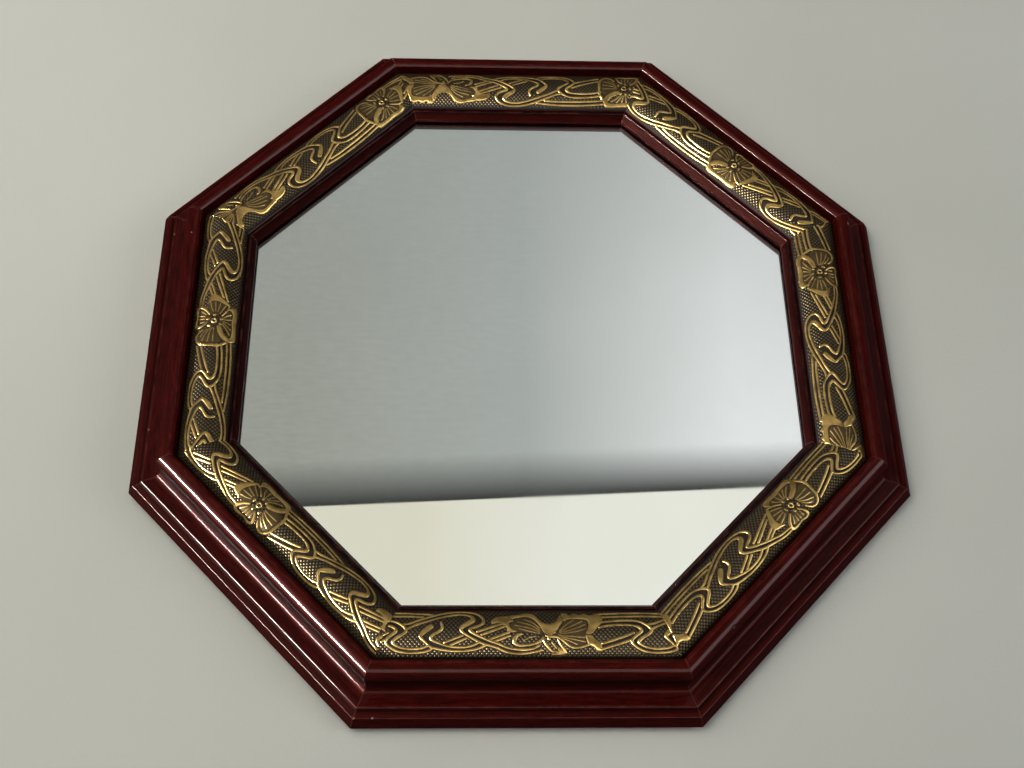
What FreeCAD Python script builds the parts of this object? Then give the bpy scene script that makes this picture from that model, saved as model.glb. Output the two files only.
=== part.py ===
import FreeCAD, Part
import math
import os
import types
import Sketcher

# Octagonal wall mirror, lying on its back as it leans on a wall: +Z is the way the mirror faces,
# +Y is up the wall, and the origin is under the middle of the frame, on the wall plane.

SIDES = 8
TURN = 360 / SIDES
RAILS = ("right", "upper_right", "top", "upper_left", "left", "lower_left", "bottom", "lower_right")

# Driving dimensions in millimetres.
LENGTHS = {
    # moulding, from its outer edge inwards
    "frame_across": 460,
    "base_slope": 4.0,
    "ledge_width": 3.7,
    "step_run": 1.6,
    "hollow_width": 7.3,
    "hollow_curve_run": 3.5,
    "riser_lean": 0.7,
    "bead_overhang": 0.8,
    "bead_width": 10.1,
    "bead_outer_round": 4.8,
    "bead_inner_round": 3.1,
    "outer_quirk": 1.5,
    "band_width": 27.0,
    "inner_quirk": 1.2,
    "lip_width": 3.8,
    # moulding, heights: the outer steps from the back up, the rest from the rabbet up
    "base_height": 7.0,
    "ledge_rise": 0.8,
    "step_rise": 1.9,
    "hollow_drop": 1.4,
    "hollow_curve_rise": 3.7,
    "rabbet_depth": 13.5,
    "rabbet_width": 8.6,
    "sight_rise": 1.9,
    "lip_height": 5.8,
    "lip_swell": 1.3,
    "quirk_depth": 0.9,
    "band_step": 0.8,
    "band_rise": 2.1,
    "band_crown": 5.0,
    "bead_rise": 6.9,
    "bead_inner_drop": 2.8,
    "bead_drop": 5.4,
    "bead_undercut": 1.0,
    # ornament band
    "band_thickness": 1.0,
    "glue_line": 0.1,
    # glass and backing
    "glass_thickness": 3.0,
    "glass_clearance": 0.8,
    "board_thickness": 3.2,
    "board_clearance": 1.0,
    # glazing points
    "point_thickness": 0.5,
    "point_width": 10.0,
    "point_bite": 7.0,
    "point_cover": 9.0,
    "point_spacing": 66.0,
    # mitre nails
    "nail_leg": 6.0,
    "nail_thickness": 0.6,
    "nail_height": 9.0,
    "nail_inset": 8.0,
    "nail_spacing": 20.0,
    # hangers
    "strap_width": 10.0,
    "strap_thickness": 0.8,
    "strap_length": 28.0,
    "ring_wire": 2.0,
    "ring_play": 0.08,
    "ring_side_play": 0.5,
    "ring_corner": 1.8,
    "ring_leg": 3.0,
    "hanger_inset": 21.0,
    "hanger_rise": 45.0,
    "screw_head": 6.0,
    "screw_head_height": 1.8,
    "screw_shank": 3.0,
    "screw_length": 12.0,
    "screw_tip": 3.0,
    "screw_start": 10.0,
    "screw_spacing": 11.0,
    "screw_clearance": 0.3,
    # wall pads
    "wall_gap": 0.24,
    "pad_diameter": 14.0,
    "pad_round": 0.8,
    "pad_inset": 25.0,
    # how far every cut runs past what it cuts
    "cut_overrun": 5.0,
}

# The step along each axis of a slanting line at 45 degrees, and how far a quarter circle stands off
# its chord, as a share of its radius.
DIAGONAL_SHARE = math.sqrt(0.5)
QUARTER_RISE_SHARE = 1 - DIAGONAL_SHARE


class Size:
    """A number worked out from the sheet, with the expression that keeps it bound to the sheet."""

    def __init__(self, text, value):
        self.text = text
        self.value = value

    def joined(self, sign, other, value):
        """Returns this size joined to another size or plain factor by an arithmetic sign."""
        text = other.text if isinstance(other, Size) else repr(other)
        return Size(f"({self.text} {sign} {text})", value)

    def __add__(self, other):
        return self.joined("+", other, self.value + other.value)

    def __sub__(self, other):
        return self.joined("-", other, self.value - other.value)

    def __mul__(self, other):
        factor = other.value if isinstance(other, Size) else other
        return self.joined("*", other, self.value * factor)

    def __truediv__(self, other):
        factor = other.value if isinstance(other, Size) else other
        return self.joined("/", other, self.value / factor)

    def __neg__(self):
        return Size(f"(-{self.text})", -self.value)


doc = FreeCAD.newDocument("octagonal_mirror")
sheet = doc.addObject("Spreadsheet::Sheet", "sizes")
size = types.SimpleNamespace()
for row, (alias, number) in enumerate(LENGTHS.items(), start=1):
    sheet.set(f"A{row}", alias)
    sheet.set(f"B{row}", str(number))
    sheet.setAlias(f"B{row}", alias)
    setattr(size, alias, Size(f"sizes.{alias}", number))
doc.recompute()

ZERO = size.frame_across * 0
MITRE_SLOPE = math.tan(math.radians(TURN / 2))
CORNER_STRETCH = 1 / math.cos(math.radians(TURN / 2))


def bind(feature, **sizes):
    """Binds properties of a feature to sizes."""
    for name, value in sizes.items():
        feature.setExpression(name, value.text)


def lift(obj, x=ZERO, y=ZERO, z=ZERO):
    """Binds the place of a sub-part."""
    for axis, value in (("x", x), ("y", y), ("z", z)):
        obj.setExpression(f"Placement.Base.{axis}", value.text)


def new_body(label):
    body = doc.addObject("PartDesign::Body", label)
    body.Label = label
    body.AllowCompound = True
    return body


def origin_part(body, role):
    return next(part for part in body.Origin.OriginFeatures if part.Role == role)


def new_sketch(body, name, plane, height=ZERO):
    """Makes a sketch on one of the body's own planes, raised by a height."""
    sketch = body.newObject("Sketcher::SketchObject", f"{body.Name}_{name}")
    sketch.AttachmentSupport = [(origin_part(body, plane), "")]
    sketch.MapMode = "FlatFace"
    sketch.setExpression("AttachmentOffset.Base.z", height.text)
    return sketch


def pin_point(sketch, name, curve, end, x, y):
    """Fixes one end of a curve at bound coordinates."""
    for kind, axis, value in (("DistanceX", "x", x), ("DistanceY", "y", y)):
        index = sketch.addConstraint(Sketcher.Constraint(kind, -1, 1, curve, end, value.value))
        sketch.renameConstraint(index, f"{name}_{axis}")
        sketch.setExpression(f"Constraints.{name}_{axis}", value.text)


def arc_radius(start, end, rise):
    """Radius of the arc that stands off the chord between two points by a rise."""
    run = end[0] - start[0]
    climb = end[1] - start[1]
    return ((run * run + climb * climb) / 4 + rise * rise) / (rise * 2)


def arc_curve(start, end, rise, left):
    """The arc from start to end that stands off its chord by a rise, to the left or the right."""
    x0, y0, x1, y1 = (part.value for part in (*start[:2], *end[:2]))
    reach = rise.value / math.hypot(x1 - x0, y1 - y0)
    side = reach if left else -reach
    middle = FreeCAD.Vector((x0 + x1) / 2 - (y1 - y0) * side, (y0 + y1) / 2 + (x1 - x0) * side, 0)
    return Part.Arc(FreeCAD.Vector(x0, y0, 0), middle, FreeCAD.Vector(x1, y1, 0))


def draw_outline(sketch, name, corners):
    """Draws a closed outline whose corners are (x, y) or (x, y, rise, left), the last two for an
    arc from that corner to the next one. Every corner and radius is bound to the sheet."""
    first = sketch.GeometryCount
    count = len(corners)
    flipped = []
    for place, corner in enumerate(corners):
        following = corners[(place + 1) % count]
        if len(corner) == 2:
            ends = [FreeCAD.Vector(x.value, y.value, 0) for x, y in (corner, following[:2])]
            sketch.addGeometry(Part.LineSegment(*ends))
            flipped.append(False)
            continue
        rise, left = corner[2:]
        curve = sketch.addGeometry(arc_curve(corner, following, rise, left))
        radius = arc_radius(corner, following, rise)
        index = sketch.addConstraint(Sketcher.Constraint("Radius", curve, radius.value))
        sketch.renameConstraint(index, f"{name}_radius_{place}")
        sketch.setExpression(f"Constraints.{name}_radius_{place}", radius.text)
        # an arc is stored counterclockwise, so one that bulges left of its travel is stored end first
        flipped.append(left)
    for place, corner in enumerate(corners):
        before = (place - 1) % count
        last_end = 1 if flipped[before] else 2
        first_end = 2 if flipped[place] else 1
        joint = (first + before, last_end, first + place, first_end)
        sketch.addConstraint(Sketcher.Constraint("Coincident", *joint))
        pin_point(sketch, f"{name}_corner_{place}", first + place, first_end, *corner[:2])


def draw_circle(sketch, name, x, y, radius):
    centre = FreeCAD.Vector(x.value, y.value, 0)
    curve = sketch.addGeometry(Part.Circle(centre, FreeCAD.Vector(0, 0, 1), radius.value))
    pin_point(sketch, name, curve, 3, x, y)
    index = sketch.addConstraint(Sketcher.Constraint("Radius", curve, radius.value))
    sketch.renameConstraint(index, f"{name}_radius")
    sketch.setExpression(f"Constraints.{name}_radius", radius.text)


def add_pad(body, sketch, length, both_ways=False):
    pad = body.newObject("PartDesign::Pad", f"{sketch.Name}_pad")
    pad.Profile = sketch
    pad.SideType = "Symmetric" if both_ways else "One side"
    bind(pad, Length=length)
    return pad


def add_pocket(body, sketch, length):
    """Cuts a sketch out of the body, the same length to both sides of the sketch."""
    pocket = body.newObject("PartDesign::Pocket", f"{sketch.Name}_pocket")
    pocket.Profile = sketch
    pocket.SideType = "Symmetric"
    bind(pocket, Length=length)
    return pocket


def add_turns(body, feature, count):
    """Repeats a feature round the frame's axis."""
    pattern = body.newObject("PartDesign::PolarPattern", f"{feature.Name}_turns")
    pattern.Originals = [feature]
    pattern.Axis = (origin_part(body, "Z_Axis"), [""])
    pattern.Angle = 360
    pattern.Occurrences = count
    body.Tip = pattern
    return pattern


# Where the moulding's edges lie, as distances from the frame's axis.
frame_edge = size.frame_across / 2
base_edge = frame_edge - size.base_slope
ledge_edge = base_edge - size.ledge_width
step_edge = ledge_edge - size.step_run
hollow_edge = step_edge - size.hollow_width
riser_foot = hollow_edge - size.hollow_curve_run
riser_head = riser_foot - size.riser_lean
bead_outer = riser_head + size.bead_overhang
bead_inner = bead_outer - size.bead_width
band_outer = bead_inner - size.outer_quirk
band_inner = band_outer - size.band_width
lip_outer = band_inner - size.inner_quirk
sight_edge = lip_outer - size.lip_width
rabbet_edge = sight_edge + size.rabbet_width

# Heights above the moulding's back.
ledge_height = size.base_height + size.ledge_rise
step_height = ledge_height + size.step_rise
hollow_height = step_height - size.hollow_drop
hollow_end = hollow_height + size.hollow_curve_rise
sight_height = size.rabbet_depth + size.sight_rise
lip_top = sight_height + size.lip_height
band_inner_top = lip_top + size.band_step
band_outer_top = band_inner_top + size.band_rise
frame_height = band_outer_top + size.bead_rise
bead_quirk = frame_height - size.bead_inner_drop
bead_foot = frame_height - size.bead_drop
riser_end = bead_foot - size.bead_undercut
seat_depth = size.band_thickness + size.glue_line
seat_outer = band_outer_top - seat_depth
seat_inner = band_inner_top - seat_depth
lip_foot = seat_inner - size.quirk_depth
glass_back = size.rabbet_depth - size.glass_thickness
board_back = glass_back - size.board_thickness

# The hangers hang below the moulding's back, and the pads keep them off the wall.
wire_radius = size.ring_wire / 2
loop_bore = wire_radius + size.ring_play
loop_radius = loop_bore + size.strap_thickness
strap_depth = size.strap_thickness * 2
hanger_reach = rabbet_edge + size.hanger_inset
pad_height = loop_radius * 2 + size.wall_gap

# How far the moulding's round stretches stand off their chords.
hollow_sweep = size.hollow_curve_run * QUARTER_RISE_SHARE
bead_outer_sweep = size.bead_outer_round * QUARTER_RISE_SHARE
bead_inner_sweep = size.bead_inner_round * QUARTER_RISE_SHARE

RAIL_PROFILE = (
    (frame_edge, ZERO),
    (base_edge, size.base_height),
    (ledge_edge, ledge_height),
    (step_edge, step_height),
    (hollow_edge, hollow_height, hollow_sweep, True),
    (riser_foot, hollow_end),
    (riser_head, riser_end),
    (bead_outer, bead_foot, bead_outer_sweep, False),
    (bead_outer - size.bead_outer_round, frame_height),
    (bead_inner + size.bead_inner_round, frame_height, bead_inner_sweep, False),
    (bead_inner, bead_quirk),
    (bead_inner, seat_outer),
    (band_outer, seat_outer, size.band_crown, False),
    (band_inner, seat_inner),
    (band_inner, lip_foot),
    (lip_outer, lip_foot),
    (lip_outer, lip_top, size.lip_swell, False),
    (sight_edge, sight_height),
    (sight_edge, size.rabbet_depth),
    (rabbet_edge, size.rabbet_depth),
    (rabbet_edge, ZERO),
)

BAND_PROFILE = (
    (band_outer, band_outer_top - size.band_thickness),
    (band_outer, band_outer_top, size.band_crown, False),
    (band_inner, band_inner_top),
    (band_inner, band_inner_top - size.band_thickness, size.band_crown, True),
)


def mitred_stick(label, profile, place):
    """A straight stick of one profile, mitred at both ends, on one side of the octagon."""
    body = new_body(label)
    section = new_sketch(body, "section", "XZ_Plane")
    draw_outline(section, "edge", profile)
    outer_end = frame_edge + size.cut_overrun
    stick_end = outer_end * MITRE_SLOPE
    add_pad(body, section, stick_end * 2, both_ways=True)
    mitres = new_sketch(body, "mitres", "XY_Plane")
    inner_end = sight_edge - size.cut_overrun
    for name, side in (("near", -1), ("far", 1)):
        wedge = (
            (inner_end, inner_end * MITRE_SLOPE * side),
            (outer_end, outer_end * MITRE_SLOPE * side),
            (outer_end, (stick_end + size.cut_overrun) * side),
            (inner_end, (stick_end + size.cut_overrun) * side),
        )
        draw_outline(mitres, name, wedge)
    add_pocket(body, mitres, (frame_height + size.cut_overrun) * 2)
    body.Placement.Rotation = FreeCAD.Rotation(FreeCAD.Vector(0, 0, 1), TURN * place)
    lift(body, z=pad_height)
    return body


def octagon_plate(label, edge, thickness, back):
    """A flat octagonal plate, given by the distance of its edges from the axis."""
    plate = doc.addObject("Part::Prism", label)
    plate.Label = label
    plate.Polygon = SIDES
    plate.Placement.Rotation = FreeCAD.Rotation(FreeCAD.Vector(0, 0, 1), TURN / 2)
    bind(plate, Circumradius=edge * CORNER_STRETCH, Height=thickness)
    lift(plate, z=pad_height + back)
    return plate


def glazing_points():
    """Steel tabs driven into the rabbet wall, two to a rail, that press on the backing board."""
    body = new_body("glazing_points")
    sketch = new_sketch(body, "tabs", "XY_Plane", board_back - size.point_thickness)
    half_width = size.point_width / 2
    for name, side in (("near", -1), ("far", 1)):
        middle = size.point_spacing / 2 * side
        tab = (
            (rabbet_edge - size.point_cover, middle - half_width),
            (rabbet_edge, middle - half_width),
            (rabbet_edge + size.point_bite, middle),
            (rabbet_edge, middle + half_width),
            (rabbet_edge - size.point_cover, middle + half_width),
        )
        draw_outline(sketch, name, tab)
    add_turns(body, add_pad(body, sketch, size.point_thickness), SIDES)
    lift(body, z=pad_height)
    return body


def mitre_nails():
    """V-shaped steel nails pressed in from the back, with one leg in each of two rails."""
    body = new_body("mitre_nails")
    sketch = new_sketch(body, "legs", "XY_Plane")
    leg = size.nail_leg * DIAGONAL_SHARE
    wall = size.nail_thickness * DIAGONAL_SHARE
    inner_tip = (rabbet_edge + size.nail_inset) * CORNER_STRETCH
    for name, steps in (("inner", 0), ("outer", 1)):
        tip = inner_tip + size.nail_spacing * steps
        vee = (
            (tip, ZERO),
            (tip + leg, leg),
            (tip + leg + wall, leg - wall),
            (tip + wall * 2, ZERO),
            (tip + leg + wall, wall - leg),
            (tip + leg, -leg),
        )
        draw_outline(sketch, name, vee)
    add_turns(body, add_pad(body, sketch, size.nail_height), SIDES)
    body.Placement.Rotation = FreeCAD.Rotation(FreeCAD.Vector(0, 0, 1), TURN / 2)
    lift(body, z=pad_height)
    return body


def wall_pads():
    """Rubber pads on the backs of the four slanting rails."""
    body = new_body("wall_pads")
    sketch = new_sketch(body, "disc", "XY_Plane")
    draw_circle(sketch, "rim", frame_edge - size.pad_inset, ZERO, size.pad_diameter / 2)
    discs = add_turns(body, add_pad(body, sketch, pad_height), SIDES // 2)
    doc.recompute()
    edges = [f"Edge{number}" for number, edge in enumerate(discs.Shape.Edges, start=1)
             if edge.BoundBox.ZMax < pad_height.value / 2]
    rounding = body.newObject("PartDesign::Fillet", "wall_pads_rounding")
    rounding.Base = (discs, edges)
    bind(rounding, Radius=size.pad_round)
    body.Placement.Rotation = FreeCAD.Rotation(FreeCAD.Vector(0, 0, 1), TURN)
    return body


def hanger_place(obj, side):
    """Puts a hanger piece at its loop's axis on the left or the right rail."""
    lift(obj, x=hanger_reach * side, y=size.hanger_rise, z=pad_height - loop_radius)


def hanger_strap(label, side):
    """A strap folded round the ring's bar, with two screw holes through both layers."""
    body = new_body(label)
    loop = new_sketch(body, "loop", "YZ_Plane")
    draw_circle(loop, "rim", ZERO, ZERO, loop_radius)
    add_pad(body, loop, size.strap_width, both_ways=True)
    plate = new_sketch(body, "plate", "YZ_Plane")
    layers = (
        (-size.strap_length, loop_radius - strap_depth),
        (ZERO, loop_radius - strap_depth),
        (ZERO, loop_radius),
        (-size.strap_length, loop_radius),
    )
    draw_outline(plate, "layers", layers)
    add_pad(body, plate, size.strap_width, both_ways=True)
    bore = new_sketch(body, "bore", "YZ_Plane")
    draw_circle(bore, "wall", ZERO, ZERO, loop_bore)
    add_pocket(body, bore, size.strap_width + size.cut_overrun)
    holes = new_sketch(body, "holes", "XY_Plane")
    hole_radius = size.screw_shank / 2 + size.screw_clearance
    for name, steps in (("upper", 0), ("lower", 1)):
        depth = size.screw_start + size.screw_spacing * steps
        draw_circle(holes, name, ZERO, -depth, hole_radius)
    add_pocket(body, holes, (loop_radius + size.cut_overrun) * 2)
    hanger_place(body, side)
    return body


def hanger_ring(label, side):
    """A wire D ring: a straight bar in the strap's loop, two legs and a round bow."""
    body = new_body(label)
    path = new_sketch(body, "path", "XY_Plane")
    half_bar = size.strap_width / 2 + size.ring_side_play
    bow = half_bar + size.ring_corner
    leg_end = size.ring_corner + size.ring_leg
    corner_rise = size.ring_corner * QUARTER_RISE_SHARE
    bow_rise = bow * QUARTER_RISE_SHARE
    route = (
        (-half_bar, ZERO),
        (half_bar, ZERO, corner_rise, False),
        (bow, size.ring_corner),
        (bow, leg_end, bow_rise, False),
        (ZERO, leg_end + bow, bow_rise, False),
        (-bow, leg_end),
        (-bow, size.ring_corner, corner_rise, False),
    )
    draw_outline(path, "wire", route)
    section = new_sketch(body, "section", "YZ_Plane")
    draw_circle(section, "wire", ZERO, ZERO, wire_radius)
    pipe = body.newObject("PartDesign::AdditivePipe", f"{label}_pipe")
    pipe.Profile = section
    pipe.Spine = (path, [f"Edge{number + 1}" for number in range(len(route))])
    hanger_place(body, side)
    return body


def hanger_screws(label, side):
    """Two pan-head screws through the strap into the rail."""
    body = new_body(label)
    profile = new_sketch(body, "profile", "YZ_Plane")
    seat = loop_radius - strap_depth
    head = size.screw_head / 2
    shank = size.screw_shank / 2
    head_rise = size.screw_head_height * QUARTER_RISE_SHARE
    axis = -size.screw_start
    half_outline = (
        (axis, seat - size.screw_head_height),
        (axis + head - size.screw_head_height, seat - size.screw_head_height, head_rise, False),
        (axis + head, seat),
        (axis + shank, seat),
        (axis + shank, seat + size.screw_length - size.screw_tip),
        (axis, seat + size.screw_length),
    )
    draw_outline(profile, "edge", half_outline)
    turned = body.newObject("PartDesign::Revolution", f"{label}_turned")
    turned.Profile = profile
    turned.ReferenceAxis = (profile, ["Edge6"])
    turned.Angle = 360
    pair = body.newObject("PartDesign::LinearPattern", f"{label}_pair")
    pair.Originals = [turned]
    pair.Direction = (origin_part(body, "Y_Axis"), [""])
    pair.Reversed = True
    pair.Occurrences = 2
    bind(pair, Length=size.screw_spacing)
    body.Tip = pair
    hanger_place(body, side)
    return body


def bitten_rail(label, stick, fasteners):
    """A rail with the slots that its fasteners bite into the wood."""
    rail = doc.addObject("Part::Cut", label)
    rail.Label = label
    rail.Base = stick
    rail.Tool = fasteners
    return rail


sub_parts = [
    octagon_plate("mirror_glass", rabbet_edge - size.glass_clearance, size.glass_thickness, glass_back),
    octagon_plate("backing_board", rabbet_edge - size.board_clearance, size.board_thickness, board_back),
    wall_pads(),
]
driven = [glazing_points(), mitre_nails()]
for hand, side in (("left", -1), ("right", 1)):
    sub_parts.append(hanger_strap(f"hanger_strap_{hand}", side))
    sub_parts.append(hanger_ring(f"hanger_ring_{hand}", side))
    driven.append(hanger_screws(f"hanger_screws_{hand}", side))
sub_parts.extend(driven)

bite = doc.addObject("Part::Compound", "fastener_bite")
bite.Links = driven
for place, name in enumerate(RAILS):
    stick = mitred_stick(f"stick_{name}", RAIL_PROFILE, place)
    sub_parts.append(bitten_rail(f"frame_rail_{name}", stick, bite))
    sub_parts.append(mitred_stick(f"embossed_band_{name}", BAND_PROFILE, place))

doc.recompute()

for obj in doc.Objects:
    if "Invalid" in obj.State or "Error" in obj.State:
        raise RuntimeError(f"{obj.Label} did not build: {obj.State}")
for part in sub_parts:
    if part.Shape.isNull() or not part.Shape.isValid():
        raise RuntimeError(f"{part.Label} has no valid shape")

os.makedirs("parts", exist_ok=True)
for part in sub_parts:
    part.Shape.exportStep(f"parts/{part.Label}.step")
    print(part.Label, len(part.Shape.Solids), round(part.Shape.Volume, 1))
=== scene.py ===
"""Octagonal wall mirror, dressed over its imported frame.

Sizes are in millimetres in the object's own frame: front up, back on the floor. Heights of rails, bands,
glass and glazing points count from the wood's back face, all others from the floor. Meshes are in metres.
"""

import logging
import math
from collections.abc import Mapping, Sequence
from dataclasses import dataclass, field
from enum import Enum
from functools import reduce
from typing import NamedTuple

import bpy
import numpy as np
from mathutils import Matrix, Vector


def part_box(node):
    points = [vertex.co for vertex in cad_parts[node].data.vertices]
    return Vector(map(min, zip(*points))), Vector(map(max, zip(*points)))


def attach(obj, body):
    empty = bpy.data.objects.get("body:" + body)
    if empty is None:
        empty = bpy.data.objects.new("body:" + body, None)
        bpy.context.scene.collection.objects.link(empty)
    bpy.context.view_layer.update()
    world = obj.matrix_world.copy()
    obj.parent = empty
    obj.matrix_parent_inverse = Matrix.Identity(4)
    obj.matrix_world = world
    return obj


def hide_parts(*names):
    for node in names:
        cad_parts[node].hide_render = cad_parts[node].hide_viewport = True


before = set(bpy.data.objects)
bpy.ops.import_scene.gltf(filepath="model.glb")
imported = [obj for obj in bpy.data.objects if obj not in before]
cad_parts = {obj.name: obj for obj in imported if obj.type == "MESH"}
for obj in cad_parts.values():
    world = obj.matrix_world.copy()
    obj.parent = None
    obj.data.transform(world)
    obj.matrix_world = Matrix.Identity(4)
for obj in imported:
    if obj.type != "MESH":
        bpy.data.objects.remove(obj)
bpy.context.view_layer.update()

LOG = logging.getLogger("octagonal_mirror")
MM = 0.001
TINY = 1e-9
SIDES = 8
HALF_TURN = math.pi / SIDES
MITRE_SLOPE = math.tan(HALF_TURN)
TO_CORNER = 1 / math.cos(HALF_TURN)
WOOD_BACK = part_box("frame_rail_top")[0].z / MM
FRAME_BODY = "frame"
GRAIN_SHIFT = 310.0
FEW_OCTAVES = 2.0
MANY_OCTAVES = 4.0

FLOAT = "NodeSocketFloat"
WHOLE = "NodeSocketInt"
VECTOR = "NodeSocketVector"
MATERIAL = "NodeSocketMaterial"

Point = tuple[float, ...]
Faces = list[list[int]]
Colour = tuple[float, float, float]
Socket = bpy.types.NodeSocket
Outputs = bpy.types.bpy_prop_collection


class Placed(Enum):
    """A place on the frame."""

    @property
    def word(self) -> str:
        """The place's name as the frame's nodes end."""
        return self.name.lower()


class Side(Placed):
    """The eight rails; the value counts them anticlockwise from +X."""

    RIGHT = 0
    UPPER_RIGHT = 1
    TOP = 2
    UPPER_LEFT = 3
    LEFT = 4
    LOWER_LEFT = 5
    BOTTOM = 6
    LOWER_RIGHT = 7

    @property
    def turn(self) -> float:
        """Angle of the rail's outward direction from +X."""
        return self.value * 2 * HALF_TURN


class Hand(Placed):
    """Left and right hangers; the value is the sign of X."""

    LEFT = -1
    RIGHT = 1


class Slot(Enum):
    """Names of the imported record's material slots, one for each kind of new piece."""

    LACQUER = "frame_lacquer"
    BRASS = "embossed_brass"
    MIRROR = "mirror"
    ZINC = "zinc_steel"
    PLATED = "plated_steel"
    RUBBER = "pad_rubber"


class Chip(NamedTuple):
    """A knock on a rail, with the share of bare wood that shows in it."""

    side: Side
    along: float
    apothem: float
    height: float
    radius: float = 0.8
    bare: float = 0.5

    @property
    def centre(self) -> np.ndarray:
        """Its place on the rail, in millimetres, as the rail's grain counts it."""
        shifted = self.along + GRAIN_SHIFT * self.side.value
        return np.array([self.apothem, shifted, self.height + WOOD_BACK])


CHIPS = (
    Chip(Side.RIGHT, 79.0, 208.6, 29.2, 1.7, 0.8),
    Chip(Side.RIGHT, 65.0, 208.6, 29.2, 1.1, 0.9),
    Chip(Side.LOWER_RIGHT, -50.7, 208.3, 29.3, 1.2, 0.9),
    Chip(Side.BOTTOM, -93.2, 226.0, 7.0),
    Chip(Side.BOTTOM, -83.2, 226.0, 7.0),
    Chip(Side.LEFT, -77.8, 220.7, 9.7, 0.8, 0.25),
    Chip(Side.LEFT, -65.5, 204.5, 31.0),
    Chip(Side.LEFT, 58.8, 220.7, 9.7, 0.8, 0.35),
    Chip(Side.LEFT, -90.6, 219.2, 9.6, 1.0, 0.5),
    Chip(Side.LEFT, -89.3, 216.2, 9.0, 0.9, 0.5),
    Chip(Side.LOWER_LEFT, 38.9, 220.7, 9.7, 0.7, 0.7),
    Chip(Side.TOP, 86.0, 208.2, 29.0, 1.0, 0.6),
    Chip(Side.TOP, 85.0, 205.6, 30.5, 0.9, 0.6),
)


def metres(lengths: Point) -> Point:
    """Lengths in metres."""
    return tuple(length * MM for length in lengths)


class Graph:
    """Builds a node tree one node at a time."""

    def __init__(self, tree: bpy.types.NodeTree) -> None:
        """Starts on a tree that the caller owns."""
        self.tree = tree

    def add(self, kind: str, inputs: Mapping | None = None, **settings: object) -> bpy.types.Node:
        """Adds a node.

        Args:
            kind: Blender's name of the node type.
            inputs: input names or numbers with the value to set or the socket to link.
            settings: the node's own properties.

        Returns:
            The new node.
        """
        node = self.tree.nodes.new(kind)
        for name, value in settings.items():
            setattr(node, name, value)
        for key, value in (inputs or {}).items():
            if isinstance(value, Socket):
                self.tree.links.new(value, node.inputs[key])
            else:
                node.inputs[key].default_value = value
        return node

    def made(self, kind: str, inputs: Mapping | None = None, **settings: object) -> Socket:
        """Adds a node as add does and gives its first output."""
        return self.add(kind, inputs, **settings).outputs[0]

    def maths(self, operation: str, *values: object) -> Socket:
        """Works out numbers or sockets, in order, with a Math node."""
        return self.made("ShaderNodeMath", dict(enumerate(values)), operation=operation)

    def product(self, *values: object) -> Socket:
        """Multiplies numbers or sockets, in order."""
        return reduce(lambda first, second: self.maths("MULTIPLY", first, second), values)

    def vector(self, operation: str, first: object, second: object) -> Socket:
        """Works out two vectors or sockets with a Vector Math node."""
        return self.made("ShaderNodeVectorMath", {0: first, 1: second}, operation=operation)

    def joined(self, x: object, y: object, z: object) -> Socket:
        """A vector of three numbers or sockets."""
        return self.made("ShaderNodeCombineXYZ", {0: x, 1: y, 2: z})

    def parts(self, place: Socket) -> Outputs:
        """The three numbers of a vector."""
        return self.add("ShaderNodeSeparateXYZ", {0: place}).outputs

    def blend(self, share: object, low: object, high: object) -> Socket:
        """Mixes two colours or sockets; the share is that of the second."""
        low, high = (c if isinstance(c, Socket) else (*c, 1.0) for c in (low, high))
        return self.add("ShaderNodeMix", {0: share, 6: low, 7: high}, data_type="RGBA").outputs[2]

    def fit(
        self, value: object, low: object, high: object, at_low: float = 0.0, at_high: float = 1.0
    ) -> Socket:
        """Maps the range from low to high onto that from at_low to at_high and clamps it."""
        inputs = {"Value": value, "From Min": low, "From Max": high, "To Min": at_low, "To Max": at_high}
        return self.add("ShaderNodeMapRange", inputs).outputs["Result"]

    def spread(self, share: Socket, none: float, full: float) -> Socket:
        """A value that runs from none to full as a share runs from 0 to 1."""
        return self.fit(share, 0.0, 1.0, none, full)

    def stretch(self, value: Socket, rise: Point, fall: Point) -> Socket:
        """A mask of a length in metres: it rises to 1 and falls to 0 over two pairs of millimetres."""
        return self.product(self.fit(value, *metres(rise)), self.fit(value, *metres(fall), 1.0, 0.0))

    def noise(self, place: Socket, scale: object, detail: float) -> Socket:
        """A noise about 0.5: its scale is in lumps per metre of the place, its detail in octaves."""
        return self.made("ShaderNodeTexNoise", {"Vector": place, "Scale": scale, "Detail": detail})

    def attribute(self, name: str, output: str = "Fac") -> Socket:
        """An attribute that the mesh carries: Fac gives a number, Vector a place."""
        return self.add("ShaderNodeAttribute", attribute_name=name).outputs[output]

    def object_place(self) -> Socket:
        """Object coordinates, in metres."""
        return self.add("ShaderNodeTexCoord").outputs["Object"]

    def bump(self, height: Socket, distance: float, strength: float = 1.0) -> Socket:
        """A normal from a height: the distance is the millimetres of relief at 1."""
        inputs = {"Height": height, "Distance": distance * MM, "Strength": strength}
        return self.made("ShaderNodeBump", inputs)

    def group(self, tree: bpy.types.NodeTree, inputs: Mapping) -> Outputs:
        """Places a shared effect with its own values and gives its outputs."""
        return self.add("ShaderNodeGroup", inputs, node_tree=tree).outputs


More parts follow.
